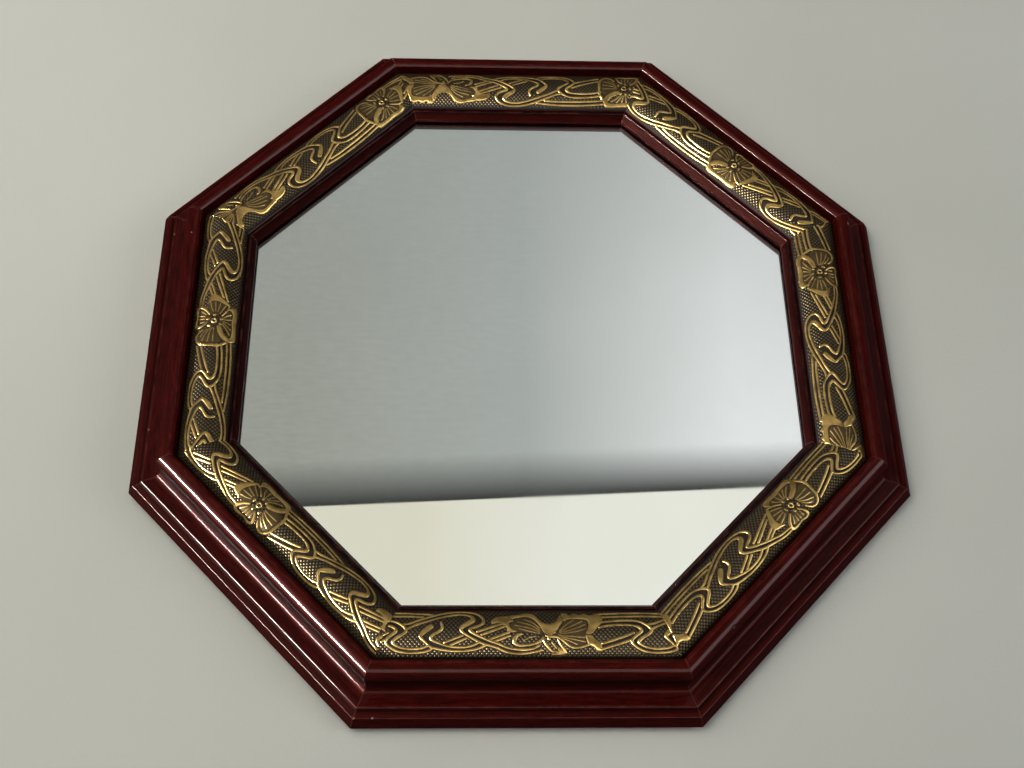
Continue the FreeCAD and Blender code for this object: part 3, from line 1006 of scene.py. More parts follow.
@dataclass
class FrameMoulding:
    """The eight mitred rails of lacquered wood."""

    recipes: Recipes
    finishes: Finishes
    section: tuple[Corner, ...] = (
        Corner(230.0, 0.0, soft=0.3),
        Corner(226.0, 7.0, soft=0.7),
        Corner(222.3, 7.8),
        Corner(220.7, 9.7, soft=1.2),
        Corner(216.0, 8.8, rise=-1.78),
        Corner(209.8, 13.6),
        Corner(209.2, 23.6, soft=0.3),
        Corner(209.95, 24.3, rise=1.92, soft=0.4),
        Corner(202.3, 31.0),
        Corner(201.4, 30.9, soft=0.9),
        Corner(199.9, 29.5, soft=0.6),
        Corner(199.9, 23.0),
        Corner(198.4, 23.0, rise=5.0),
        Corner(171.4, 20.9),
        Corner(171.4, 20.0),
        Corner(170.2, 20.0),
        Corner(170.2, 21.2, soft=0.35),
        Corner(169.0, 21.3, soft=0.45),
        Corner(166.5, 15.9, soft=0.5),
        Corner(166.4, 13.5, soft=0.3),
        Corner(175.0, 13.5),
        Corner(175.0, 0.0, soft=0.3),
    )
    steps: int = 220
    crowding: float = 1.5
    arc_steps: int = 10
    round_points: int = 4
    most_cut: float = 0.45
    guards: tuple[float, ...] = (0.35, 0.9, 1.8)
    last_guard: float = 0.49
    mitre_gap: float = 0.05
    mitre_ease: float = 0.12
    mitre_line: float = 0.6
    open_gap: float = 0.7
    dent_reach: float = 1.4
    dent: float = 0.35

    def corners(self) -> tuple[list[np.ndarray], list[float]]:
        """Draws the section's arcs.

        Returns:
            The section's points with sharp corners, and the radius that each is to be rounded to.
        """
        points, radii = [], []
        for corner, after in zip(self.section, (*self.section[1:], self.section[0])):
            start, end = np.array(corner[:2]), np.array(after[:2])
            middle = arc(start, end, corner.rise, self.arc_steps)[1:-1] if corner.rise else []
            points += [start, *middle]
            radii += [corner.soft] + [0.0] * len(middle)
        return points, radii

    def rounded(self) -> tuple[np.ndarray, np.ndarray]:
        """Rounds the section's corners and sets guard points on the flats beside them.

        Returns:
            The points, and 1 for each point on a rounded corner.
        """
        corners, radii = self.corners()
        points, marks = [], []
        for number, (place, radius) in enumerate(zip(corners, radii)):
            if not radius:
                points.append(place)
                marks.append(0.0)
                continue
            back = corners[number - 1] - place
            on = corners[(number + 1) % len(corners)] - place
            back_room, on_room = np.hypot(*back), np.hypot(*on)
            back, on = back / back_room, on / on_room
            bend = math.pi - math.acos(np.clip(back @ on, -1, 1))
            cut = min(radius * math.tan(bend / 2), self.most_cut * min(back_room, on_room))
            share = np.linspace(0, 1, self.round_points)[:, None]
            curve = (place + back * cut) * (1 - share) ** 2 + (place + on * cut) * share**2
            curve = curve + 2 * place * share * (1 - share)
            reaches = [cut + guard for guard in self.guards]
            before = [place + back * r for r in reaches[::-1] if r < self.last_guard * back_room]
            after = [place + on * r for r in reaches if r < self.last_guard * on_room]
            points += [*before, *curve, *after]
            marks += [0.0] * len(before) + [1.0] * self.round_points + [0.0] * len(after)
        return np.array(points), np.array(marks)

    def guide(self) -> bpy.types.Mesh:
        """Draws the section the way the sweep reads it.

        Returns:
            The section as a closed line that knows its arrises.
        """
        points, arris = self.rounded()
        points, arris = points[::-1], arris[::-1]
        flat = np.column_stack([points[:, 0], -(points[:, 1] + WOOD_BACK), np.zeros(len(points))])
        mesh = closed_line("moulding_section", flat)
        store(mesh, "arris", arris)
        return mesh

    def build(self) -> None:
        """Makes, knocks about and fastens the rails."""
        for side in Side:
            open_end = self.open_gap if side is Side.LEFT else self.mitre_gap
            rail = self.recipes.moulding.make(f"rail_{side.word}", self.guide(), {
                "Mitre slope": MITRE_SLOPE,
                "Steps": self.steps,
                "Crowding": self.crowding,
                "Ease": self.mitre_ease * MM,
                "Line width": self.mitre_line * MM,
                "Clockwise gap": open_end * MM,
                "Anticlockwise gap": self.mitre_gap * MM,
                "Turn": side.turn,
                "Grain shift": GRAIN_SHIFT * side.value * MM,
                "Finish": self.finishes.lacquer,
            })
            self.knock(rail.data, side)
            crisp(rail.data)
            fasten(rail, FRAME_BODY, Slot.LACQUER, f"frame_rail_{side.word}")

    def knock(self, mesh: bpy.types.Mesh, side: Side) -> None:
        """Presses this side's chips into a rail.

        Args:
            mesh: the rail's mesh, with its place along the rail stored.
            side: which rail it is.
        """
        count = len(mesh.vertices)
        points, places = np.empty(count * 3), np.empty(count * 3)
        mesh.vertices.foreach_get("co", points)
        mesh.attributes["rail_place"].data.foreach_get("vector", places)
        points, places = points.reshape(-1, 3), places.reshape(-1, 3) / MM
        outward = np.array([math.cos(side.turn), math.sin(side.turn), 1.0]) / math.sqrt(2)
        for chip in (c for c in CHIPS if c.side is side):
            away = np.linalg.norm(places - chip.centre, axis=1) / (chip.radius * self.dent_reach)
            depth = np.clip(1 - away**2, 0, 1) * chip.radius * self.dent * MM
            points -= outward * depth[:, None]
        mesh.vertices.foreach_set("co", points.ravel())
        mesh.update()


@dataclass(frozen=True)
class Ridge:
    """A raised line; each point is (along, across, half width)."""

    points: tuple[Point, ...]
    height: float = 0.95
    gilt: float = 1.0
    flat: float = 2.2


@dataclass(frozen=True)
class Ribbon:
    """Two raised lines with a plain groove between them."""

    upper: tuple[Point, ...]
    lower: tuple[Point, ...]
    height: float = 0.95
    gilt: float = 1.0
    flat: float = 2.2


@dataclass(frozen=True)
class Leaf:
    """A raised patch; it swells over the width of its edge."""

    outline: tuple[Point, ...]
    height: float = 0.95
    gilt: float = 1.0
    edge: float = 1.5


Mark = Ridge | Ribbon | Leaf


def line(half: float, *points: Point) -> tuple[Point, ...]:
    """Gives a half width to points that carry none."""
    return tuple((p[0], p[1], p[2] if len(p) > 2 else half) for p in points)


def vein(*points: Point) -> Ridge:
    """A fine raised line inside a petal."""
    return Ridge(line(0.42, *points), height=0.72, gilt=0.8)


def bead(*points: Point) -> Ridge:
    """A short plump drop."""
    return Ridge(line(0.85, *points), gilt=0.9)


def petal(*outline: Point) -> Leaf:
    """The low dark floor of a petal."""
    return Leaf(outline, height=0.3, gilt=0.12, edge=0.9)


class Motif:
    """The band's ornament, drawn once: along counts from a motif's centre, across from the outer edge."""

    THIN = 0.82
    EYE_ACROSS = 15.0
    EYE_RADIUS = 1.3
    EYE_HALF_WIDTH = 0.62
    EYE_HEIGHT = 1.15
    EYE_POINTS = 9

    @classmethod
    def vine(cls, upper_start: tuple[Point, ...], lower_start: tuple[Point, ...]) -> tuple[Ribbon, ...]:
        """The vine that follows a motif.

        Args:
            upper_start: first points of the long ribbon's upper line.
            lower_start: first points of its lower line.

        Returns:
            The vine's ribbons.
        """
        thin = cls.THIN
        sweep = Ribbon(
            line(
                thin, *upper_start, (22, 6.9), (26, 8.1), (30, 9.3), (34, 11.3), (37.5, 13.3, 0.75),
                (40.6, 15.4, 0.95), (41.5, 17.1, 1.2), (40.2, 18.9, 1.5), (37.4, 20.6, 1.75),
                (35.2, 22.6, 1.75), (35.8, 24.7, 1.25), (38.5, 26, 0.85), (43, 26.3), (48, 25.4),
                (54, 23.7), (60, 21.5), (65, 19.7), (70.5, 17.1),
            ),
            line(
                thin, *lower_start, (22, 9.3), (26, 10.7), (30, 12.3, 0.65), (33, 13.8, 0.85),
                (35.8, 15.6, 1.05), (36.6, 16.9, 1.1), (35, 17.9, 1.05), (32, 18.9, 1.0),
                (29.9, 20.4, 1.05), (29.3, 22.2, 1.05), (30.3, 24.6, 0.95), (33, 26.8, 0.8), (38, 28.3),
                (44, 28.4), (50, 27.4), (55, 25.9), (60, 24), (65, 22), (69, 20.4), (72.5, 19.7),
            ),
        )
        fork = Ribbon(
            line(
                thin, (28.4, 8.3), (31, 7), (35, 5.9), (40, 5.3), (45, 5.2), (50, 5.7), (54, 6.4),
                (57.5, 7.5), (60, 9.6, 0.7), (62.3, 11.9, 0.95), (63.1, 13.3, 1.2), (61.8, 15.2, 1.6),
                (59.5, 17.2, 1.85), (57.6, 18.6, 1.65),
            ),
            line(
                thin, (32.3, 9.7), (35, 8.3), (39, 7.4), (44, 7.3), (49, 8.1), (53, 9.4, 0.75),
                (56, 10.7, 0.9), (57.6, 12.2, 1.0), (56.4, 13.9, 1.0), (53.8, 15.4, 0.95),
                (52, 16.9, 1.0), (51.5, 18.8, 1.0), (52.2, 21, 0.85),
            ),
        )
        turn = Ribbon(
            line(
                thin, (56.5, 6.8), (58.5, 5.5), (62, 4.6), (67, 4.2), (72, 4.5), (76, 5.5),
                (79.3, 7.4, 0.75), (81.3, 9.5, 0.85), (81.3, 11.4, 0.9), (79.2, 13.4, 1.0),
                (76.9, 15.2, 1.1), (76.3, 16.8, 1.1), (78.2, 18.4, 0.95), (82, 19.3, 0.65), (88, 19.4),
                (94, 19), (99, 18),
            ),
            line(
                thin, (59.3, 8), (62, 6.9), (66, 6.4), (70, 6.5), (74, 7.3, 0.7), (77, 8.9, 0.9),
                (77.7, 10.4, 1.0), (75.7, 12.3, 1.0), (72.5, 14.3, 1.05), (70.9, 16, 1.05),
                (71.6, 18, 1.0), (74, 20, 0.85), (77.5, 21.6, 0.65), (82, 22.2), (88, 22.1), (94, 21.6),
                (99, 20.8),
            ),
        )
        low = Ribbon(
            line(thin, (62, 24.6), (68, 25), (75, 25.1), (84, 25), (94, 24.6), (101, 24)),
            line(thin, (57, 26.3), (64, 27), (72, 27.5), (82, 27.6), (92, 27.2), (101, 26.4)),
        )
        stems = (
            Ribbon(line(thin, (15.5, 13.3), (24.5, 10)), line(thin, (16, 15.2), (26.2, 11.4))),
            Ribbon(line(thin, (16.5, 19.2), (30.4, 13.9)), line(thin, (14, 22), (32.7, 15.6))),
            Ribbon(line(thin, (38.6, 12.1), (47, 8.4)), line(thin, (40.7, 13.6), (50.3, 9.8))),
            Ribbon(
                line(thin, (81.6, 11.2), (87, 9.4), (92, 7.9), (98, 6.1)),
                line(thin, (80.5, 15), (85, 13.2), (90, 11.5), (97.5, 9.2)),
            ),
        )
        return (sweep, fork, turn, low, *stems)

    @classmethod
    def vine_after_flower(cls) -> tuple[Ribbon, ...]:
        """The vine that leaves a flower's top petal."""
        return cls.vine(((9.5, 5.2), (14, 5.2), (18, 5.8)), ((10, 6.9), (17, 7.6)))

    @classmethod
    def vine_after_fan(cls) -> tuple[Ribbon, ...]:
        """The vine that leaves a fan's bud."""
        upper_start = ((-0.6, 5.3), (5.9, 4), (11.9, 3.8), (17.4, 4.8))
        return cls.vine(upper_start, ((-0.1, 8), (3.4, 6.4), (8.9, 5.9), (16, 6.9)))

    @classmethod
    def flower(cls) -> tuple[Mark, ...]:
        """A four-petalled flower with a ringed eye.

        Returns:
            The flower's marks.
        """
        floors = (
            petal(
                (-4, 12), (-7, 8), (-10, 5.6), (-13.5, 6), (-16, 9), (-16.5, 14), (-16.5, 18), (-12, 20),
                (-5, 17),
            ),
            petal(
                (-1.5, 11.5), (-4.5, 7.5), (-5, 4.5), (-2, 3.5), (2, 4.4), (7, 3.7), (10, 4.6), (10, 7.5),
                (6, 11), (2.5, 12.5),
            ),
            petal(
                (4, 13), (8, 11.5), (12, 10), (17, 11.5), (18.4, 13.5), (16.5, 17.5), (12, 23),
                (7.5, 20.5), (3.5, 17),
            ),
            petal(
                (0, 18), (-4, 20.5), (-9, 24), (-12.5, 25), (-11, 27.6), (-3, 27.8), (3, 28.2), (8, 27.6),
                (9.6, 26), (8, 22.5), (3, 18.5),
            ),
        )
        rims = (
            Leaf((
                (11, 9.7), (14, 10.3), (17.5, 11.3), (18.7, 13.5), (17.6, 16.5), (15, 20), (12, 23.3),
                (10.4, 22.6), (12, 19), (13.2, 16), (13.3, 13.5), (12.2, 11.5),
            )),
            Leaf((
                (-13.8, 24.6), (-12.5, 21), (-9, 18.3), (-5, 16.9), (-2.8, 17.4), (-2.7, 19), (-5, 20.4),
                (-8.5, 21.9), (-11, 24.6),
            )),
            Leaf((
                (-14, 23.5), (-13.5, 27), (-11, 29), (-6, 28.8), (0, 28.5), (5, 28.9), (9, 28.2),
                (10.3, 26.4), (9.6, 24), (7.6, 22), (7.5, 24.2), (5, 25.6), (0, 25.2), (-5, 25.8),
                (-10, 25.4), (-11.8, 23),
            )),
            Ridge(line(
                1.05, (-6.3, 8.8, 0.7), (-8, 6.5, 0.9), (-10, 5.2), (-12, 5), (-14, 6.1), (-15.7, 8.5),
                (-16.3, 11), (-16.5, 15), (-16.7, 18), (-15.8, 20.6), (-14, 23.4),
            )),
            Ridge(line(
                1.0, (-1.2, 11, 0.55), (-3.3, 8.6, 0.9), (-4.2, 6, 1.2), (-3.6, 4.4, 1.25), (-1.6, 3.9),
                (1, 4.6, 0.7), (4, 4.4, 0.8), (7, 4.1, 1.15), (9.2, 4.9, 1.35), (9.4, 7, 1.35),
                (7.6, 9.6, 1.1), (4.6, 12, 0.7),
            )),
            Ridge(line(0.55, (3.6, 19.5), (7.5, 22.3), (11, 23.4))),
        )
        veins = (
            vein((-5.2, 13.4), (-9, 10.8), (-13.2, 9.2)),
            vein((-5, 14.4), (-9, 13.1), (-14, 12.4)),
            vein((-5, 15.4), (-9, 15.4), (-14, 15.6)),
            vein((-6, 11.6), (-8.3, 9.2), (-10.5, 8)),
            vein((-1, 9.5), (-1.2, 6.8)),
            vein((1.2, 9.6), (1.2, 6.2)),
            vein((2.9, 9.6), (3.5, 6.2)),
            vein((4.2, 10.2), (6.6, 6.8)),
            vein((6.3, 14.2), (9, 13), (12.6, 12)),
            vein((6.5, 15.5), (12.8, 15)),
            vein((6.2, 16.8), (12, 18)),
            vein((5, 18.3), (10.5, 21)),
            vein((-2.2, 20), (-5, 22.5), (-8.5, 24.6)),
            vein((-1.2, 20.5), (-3.2, 23), (-5, 25.2)),
            vein((-0.2, 20.6), (-1, 23), (-1.6, 25)),
            vein((1, 20.8), (1.4, 23), (1.6, 25)),
            vein((2, 20.4), (4, 22.6), (5, 24.8)),
        )
        stamens = (
            bead((-3.3, 11.9), (-3.7, 13)),
            bead((0.9, 11.2), (1.2, 12)),
            bead((4, 14.9), (4.2, 15.6)),
            bead((1.1, 19.1), (1.4, 19.8)),
            bead((-1.9, 18.6), (-2.2, 19)),
        )
        turns = np.linspace(0, math.tau, cls.EYE_POINTS)
        ring = [(math.cos(turn), math.sin(turn)) for turn in turns]
        eye = [(cls.EYE_RADIUS * x, cls.EYE_ACROSS + cls.EYE_RADIUS * y) for x, y in ring]
        ringed = Ridge(line(cls.EYE_HALF_WIDTH, *eye), height=cls.EYE_HEIGHT)
        return (*floors, *rims, *veins, *stamens, ringed)

    @staticmethod
    def fan() -> tuple[Mark, ...]:
        """Two fanned leaves over an arch, with a bud and a loop above them.

        Returns:
            The fan's marks.
        """
        floors = (
            petal(
                (-24, 9), (-19, 7.4), (-15, 7), (-11, 9), (-6, 12), (-2, 13), (-7, 16.5), (-10, 22),
                (-14, 24), (-21, 23.5), (-23, 18), (-23, 14),
            ),
            petal(
                (1.5, 14), (5, 14.5), (12, 15), (18, 16.5), (19, 20), (16, 23.5), (10, 25), (6, 22.5),
                (2.5, 18),
            ),
        )
        rims = (
            Leaf((
                (-30.3, 5.2), (-27.6, 5.2), (-25.3, 7.4), (-22.5, 8.6), (-21.5, 11), (-21, 13.6),
                (-24.2, 13.8), (-26.5, 11.6), (-29.2, 9.6),
            )),
            Leaf((
                (-24.5, 14.3), (-21.3, 14.4), (-22.4, 17.5), (-22.8, 20), (-21.6, 22.4), (-17, 22.9),
                (-12, 22.6), (-9.6, 21.5), (-8.2, 26.6), (-11, 27.6), (-12.8, 26.2), (-15.5, 27.4),
                (-18.3, 26.4), (-21, 27.2), (-23.7, 26), (-27, 26.6), (-30.4, 25.2), (-31, 22.5),
                (-29.6, 19.4), (-27.2, 17),
            )),
            Leaf((
                (-9.8, 23), (-7.5, 18.5), (-5, 15.3), (-1.5, 13.6), (1.5, 15.2), (3.5, 18.5), (6.5, 22.4),
                (10.5, 24.4), (16, 23.6), (18.5, 22.6), (20, 25.4), (15, 26.4), (9.8, 27.4), (6.2, 26.2),
                (4.3, 23.8), (2.3, 21.4), (0, 20.3), (-3, 20.4), (-5.6, 22), (-7.6, 26),
            )),
            Leaf((
                (15, 15.6), (20.5, 15.2), (21.5, 17.8), (25, 20.2), (29, 19.8), (29.4, 22.2), (26, 24.8),
                (19.5, 25.2), (18.6, 22.5), (19.6, 19.6), (18, 16.9),
            )),
            Leaf(
                (
                    (-10.8, 4.6), (-10, 2.8), (-7.5, 1.9), (-4, 2.3), (-2.5, 4.2), (-5.5, 5), (-6.5, 7.5),
                    (-9, 6.8),
                ),
                height=0.65,
                gilt=0.6,
            ),
            Ridge(line(
                0.75, (-23, 8.6), (-19, 7.3), (-15.3, 6.9), (-12.3, 8), (-9.5, 10.4), (-6, 12.6),
                (-1, 13),
            )),
            Ridge(line(
                0.9, (1.5, 12.4, 0.7), (3.2, 10.4), (6.5, 9, 0.8), (10.5, 8.3, 0.8), (14.3, 8.2, 1.0),
                (16.7, 9.6, 1.25), (16.9, 11.6, 1.3), (15.3, 13.6, 1.0), (13.3, 14.3, 0.7),
            )),
            Ridge(line(0.75, (-10.6, 4.2), (-9.5, 6.3), (-7.6, 9), (-6.3, 11.3, 0.5))),
            Ridge(line(0.85, (-5.6, 4.9, 0.6), (-3.1, 5.2), (-1.1, 7.3), (0.6, 9.6), (1.6, 11.6, 0.7))),
            Ridge(line(0.55, (-4.5, 15.1), (-2.2, 13.9), (0, 13.2)), height=1.0),
        )
        veins = (
            vein((5.5, 13), (9, 12.4), (12, 10.9)),
            vein((-5.6, 6.6), (-3, 9.8)),
            vein((-16.6, 8.8), (-12.5, 10.6), (-7, 12.6)),
            vein((-21, 10.2), (-14, 11.6), (-8, 13)),
            vein((-20.5, 12.4), (-14, 13), (-7, 13.6)),
            vein((-21.5, 17.2), (-16, 15.6), (-8, 14.4)),
            vein((-21, 19.6), (-15, 17), (-7.5, 15)),
            vein((-19.5, 21.6), (-14, 18.8), (-7.5, 15.6)),
            vein((-15, 22.4), (-11, 19.6), (-7.5, 16.2)),
            vein((3.6, 14.6), (9, 15.8), (14.5, 17.3)),
            vein((3.4, 15.4), (9, 17.6), (16.5, 19.2)),
            vein((3.2, 16.2), (8.5, 19.4), (15, 21.3)),
            vein((3.4, 17.4), (7, 20.6), (11.5, 22.8)),
        )
        drops = (
            bead((-1.7, 11.5), (-1.3, 11.9)),
            bead((2.2, 5.6), (2.6, 5.8)),
        )
        return (*floors, *rims, *veins, *drops)


def smooth_line(points: Sequence[Point], closed: bool = False, steps: int = 6) -> np.ndarray:
    """Runs a Catmull-Rom curve through listed points.

    Args:
        points: the points, of any number of columns.
        closed: whether the curve comes back to its start.
        steps: stretches between two points.

    Returns:
        Points of the curve.
    """
    knots = np.array(points, dtype=float)
    if closed:
        padded = np.vstack([knots[-1:], knots, knots[:2]])
    else:
        padded = np.vstack([2 * knots[:1] - knots[1:2], knots, 2 * knots[-1:] - knots[-2:-1]])
    runs = (padded[:-3], padded[1:-2], padded[2:-1], padded[3:])
    before, start, end, after = (run[:, None] for run in runs)
    share = (np.arange(steps) / steps)[None, :, None]
    cubic = 3 * start - before - 3 * end + after
    square = 2 * before - 5 * start + 4 * end - after
    curve = start + 0.5 * share * (end - before + share * (square + share * cubic))
    curve = curve.reshape(-1, knots.shape[1])
    return curve if closed else np.vstack([curve, knots[-1:]])


def nearness(path: np.ndarray, along: np.ndarray, across: np.ndarray) -> np.ndarray:
    """Distance of places to a line of changing width.

    Args:
        path: (along, across, half width) of each point of the line.
        along: the places' first coordinate.
        across: their second.

    Returns:
        The distances in shares of the line's half width.
    """
    best = np.full(along.shape, np.inf)
    for (x, y, half), (to_x, to_y, to_half) in zip(path[:-1], path[1:]):
        run, drop = to_x - x, to_y - y
        share = ((along - x) * run + (across - y) * drop) / max(run * run + drop * drop, TINY)
        share = share.clip(0, 1)
        away = np.hypot(along - x - share * run, across - y - share * drop)
        np.minimum(best, away / (half + share * (to_half - half)), out=best)
    return best


def inside(outline: np.ndarray, along: np.ndarray, across: np.ndarray) -> np.ndarray:
    """Tells which places lie in a closed outline.

    Args:
        outline: its points.
        along: the places' first coordinate.
        across: their second.

    Returns:
        True where a place lies inside.
    """
    within = np.zeros(along.shape, dtype=bool)
    for (x, y), (to_x, to_y) in zip(outline[:, :2], np.roll(outline, -1, axis=0)[:, :2]):
        if y != to_y:
            crosses = (y > across) != (to_y > across)
            within ^= crosses & (along < x + (across - y) * (to_x - x) / (to_y - y))
    return within


def walls(levels: int, count: int) -> Faces:
    """Quads between outlines that lie one over the other.

    Args:
        levels: number of outlines, from the bottom up.
        count: points of each outline, anticlockwise from above.

    Returns:
        The faces.
    """
    quads = []
    for low in range(0, (levels - 1) * count, count):
        for here in range(count):
            after = (here + 1) % count
            quads.append([low + here, low + after, low + count + after, low + count + here])
    return quads


def capped(levels: int, count: int) -> Faces:
    """The walls between outlines, a face under the lowest and one on the highest."""
    top = (levels - 1) * count
    return [list(range(count - 1, -1, -1)), *walls(levels, count), list(range(top, top + count))]


@dataclass
class Ornament:
    """The repeat: a flower and a fan in turn, joined by vines, on a stippled ground."""

    flower_to_fan: float = 127.7
    fan_to_flower: float = 119.1
    fan_lead: float = 4.1
    stipple_along: float = 1.2
    stipple_across: float = 1.3
    stipple_radius: float = 0.78
    stipple_height: float = 0.65
    stipple_gilt: float = 0.16
    moat: float = 1.4
    margin: float = 2.5
    plain_edge: float = 1.1
    width: float = 31.25
    pressing: float = 0.5
    line_gilding: float = 3.0
    leaf_gilding: float = 4.0
    leaf_fullness: float = 0.7
    laid: list[tuple[Mark, float]] = field(default_factory=list)

    def __post_init__(self) -> None:
        """Lays out one repeat and its neighbours, counted from the middle flower."""
        repeat = self.flower_to_fan + self.fan_to_flower
        for flower in (-repeat, 0.0, repeat):
            fan = flower + self.flower_to_fan
            self.laid += [(mark, flower) for mark in (*Motif.flower(), *Motif.vine_after_flower())]
            self.laid += [(mark, fan) for mark in Motif.fan()]
            self.laid += [(mark, fan + self.fan_lead) for mark in Motif.vine_after_fan()]

    def stipple(self, along: np.ndarray, across: np.ndarray) -> np.ndarray:
        """Works out staggered little domes.

        Args:
            along: millimetres along.
            across: millimetres from the outer edge.

        Returns:
            0 between the domes to 1 at their tops.
        """
        first = 1 - np.abs((along / self.stipple_along) % 2 - 1)
        second = 1 - np.abs((across / self.stipple_across) % 2 - 1)
        even = np.hypot(first * self.stipple_along, second * self.stipple_across)
        odd = np.hypot((1 - first) * self.stipple_along, (1 - second) * self.stipple_across)
        return np.sqrt(np.clip(1 - (np.minimum(even, odd) / self.stipple_radius) ** 2, 0, 1))

    def raised(self, mark: Mark, along: np.ndarray, across: np.ndarray) -> tuple[np.ndarray, ...]:
        """Raises a leaf, or a mark's lines with a plain groove between those of a ribbon.

        Args:
            mark: what is drawn.
            along: the places' first coordinate, counted from the mark's centre.
            across: their second.

        Returns:
            Height, share of gilding and share of stippled ground at the places.
        """
        lines = self.lines(mark)
        if isinstance(mark, Leaf):
            outline = lines[0]
            rim = np.vstack([outline, outline[:1]])
            rim = np.column_stack([rim, np.full(len(rim), mark.edge)])
            into = np.clip(nearness(rim, along, across), 0, 1)
            into = np.where(inside(outline, along, across), into, 0)
            swell = (into * (2 - into)) ** self.leaf_fullness
            shown = np.clip(into * self.leaf_gilding, 0, 1)
            return mark.height * swell, mark.gilt * shown, np.where(into > 0, 0.0, 1.0)
        away = np.minimum.reduce([nearness(path, along, across) for path in lines])
        swell = np.cos(np.clip(away, 0, 1) ** mark.flat * math.pi / 2) ** 2
        ground = np.clip((away - 1) / (self.moat - 1), 0, 1)
        if isinstance(mark, Ribbon):
            groove = np.vstack([lines[0], lines[1][::-1]])
            ground[inside(groove, along, across)] = 0
        shown = np.clip((1 - away) * self.line_gilding, 0, 1)
        return mark.height * swell, mark.gilt * shown, ground

    def relief(self, along: np.ndarray, across: np.ndarray) -> tuple[np.ndarray, np.ndarray]:
        """Works out the pattern at places of the band.

        Args:
            along: millimetres along, counted from a flower.
            across: millimetres from the outer edge.

        Returns:
            Height in millimetres and share of gilding.
        """
        height, gilt, ground = np.zeros(along.shape), np.zeros(along.shape), np.ones(along.shape)
        for mark, place in self.laid:
            drawn = np.vstack(self.lines(mark))[:, :2]
            low, high = drawn.min(axis=0) - self.margin, drawn.max(axis=0) + self.margin
            near = (along > low[0] + place) & (along < high[0] + place)
            near &= (across > low[1]) & (across < high[1])
            if not near.any():
                continue
            tall, rich, bare = self.raised(mark, along[near] - place, across[near])
            height[near] = np.maximum(height[near], tall)
            gilt[near] = np.maximum(gilt[near], rich)
            ground[near] = np.minimum(ground[near], bare)
        from_edge = np.minimum(across, self.width - across)
        ground *= np.clip((from_edge - self.plain_edge) / self.plain_edge, 0, 1)
        peaks = self.stipple(along, across) * ground
        height = np.maximum(height, self.stipple_height * peaks)
        gilt = np.maximum(gilt, self.stipple_gilt * np.clip(peaks * 2 - 1, 0, 1))
        return self.pressing * height, gilt

    @staticmethod
    def lines(mark: Mark) -> list[np.ndarray]:
        """Smooths a mark.

        Args:
            mark: what is drawn.

        Returns:
            Its raised lines, or the one outline that it fills.
        """
        if isinstance(mark, Leaf):
            return [smooth_line(mark.outline, closed=True)]
        if isinstance(mark, Ridge):
            return [smooth_line(mark.points)]
        return [smooth_line(mark.upper), smooth_line(mark.lower)]


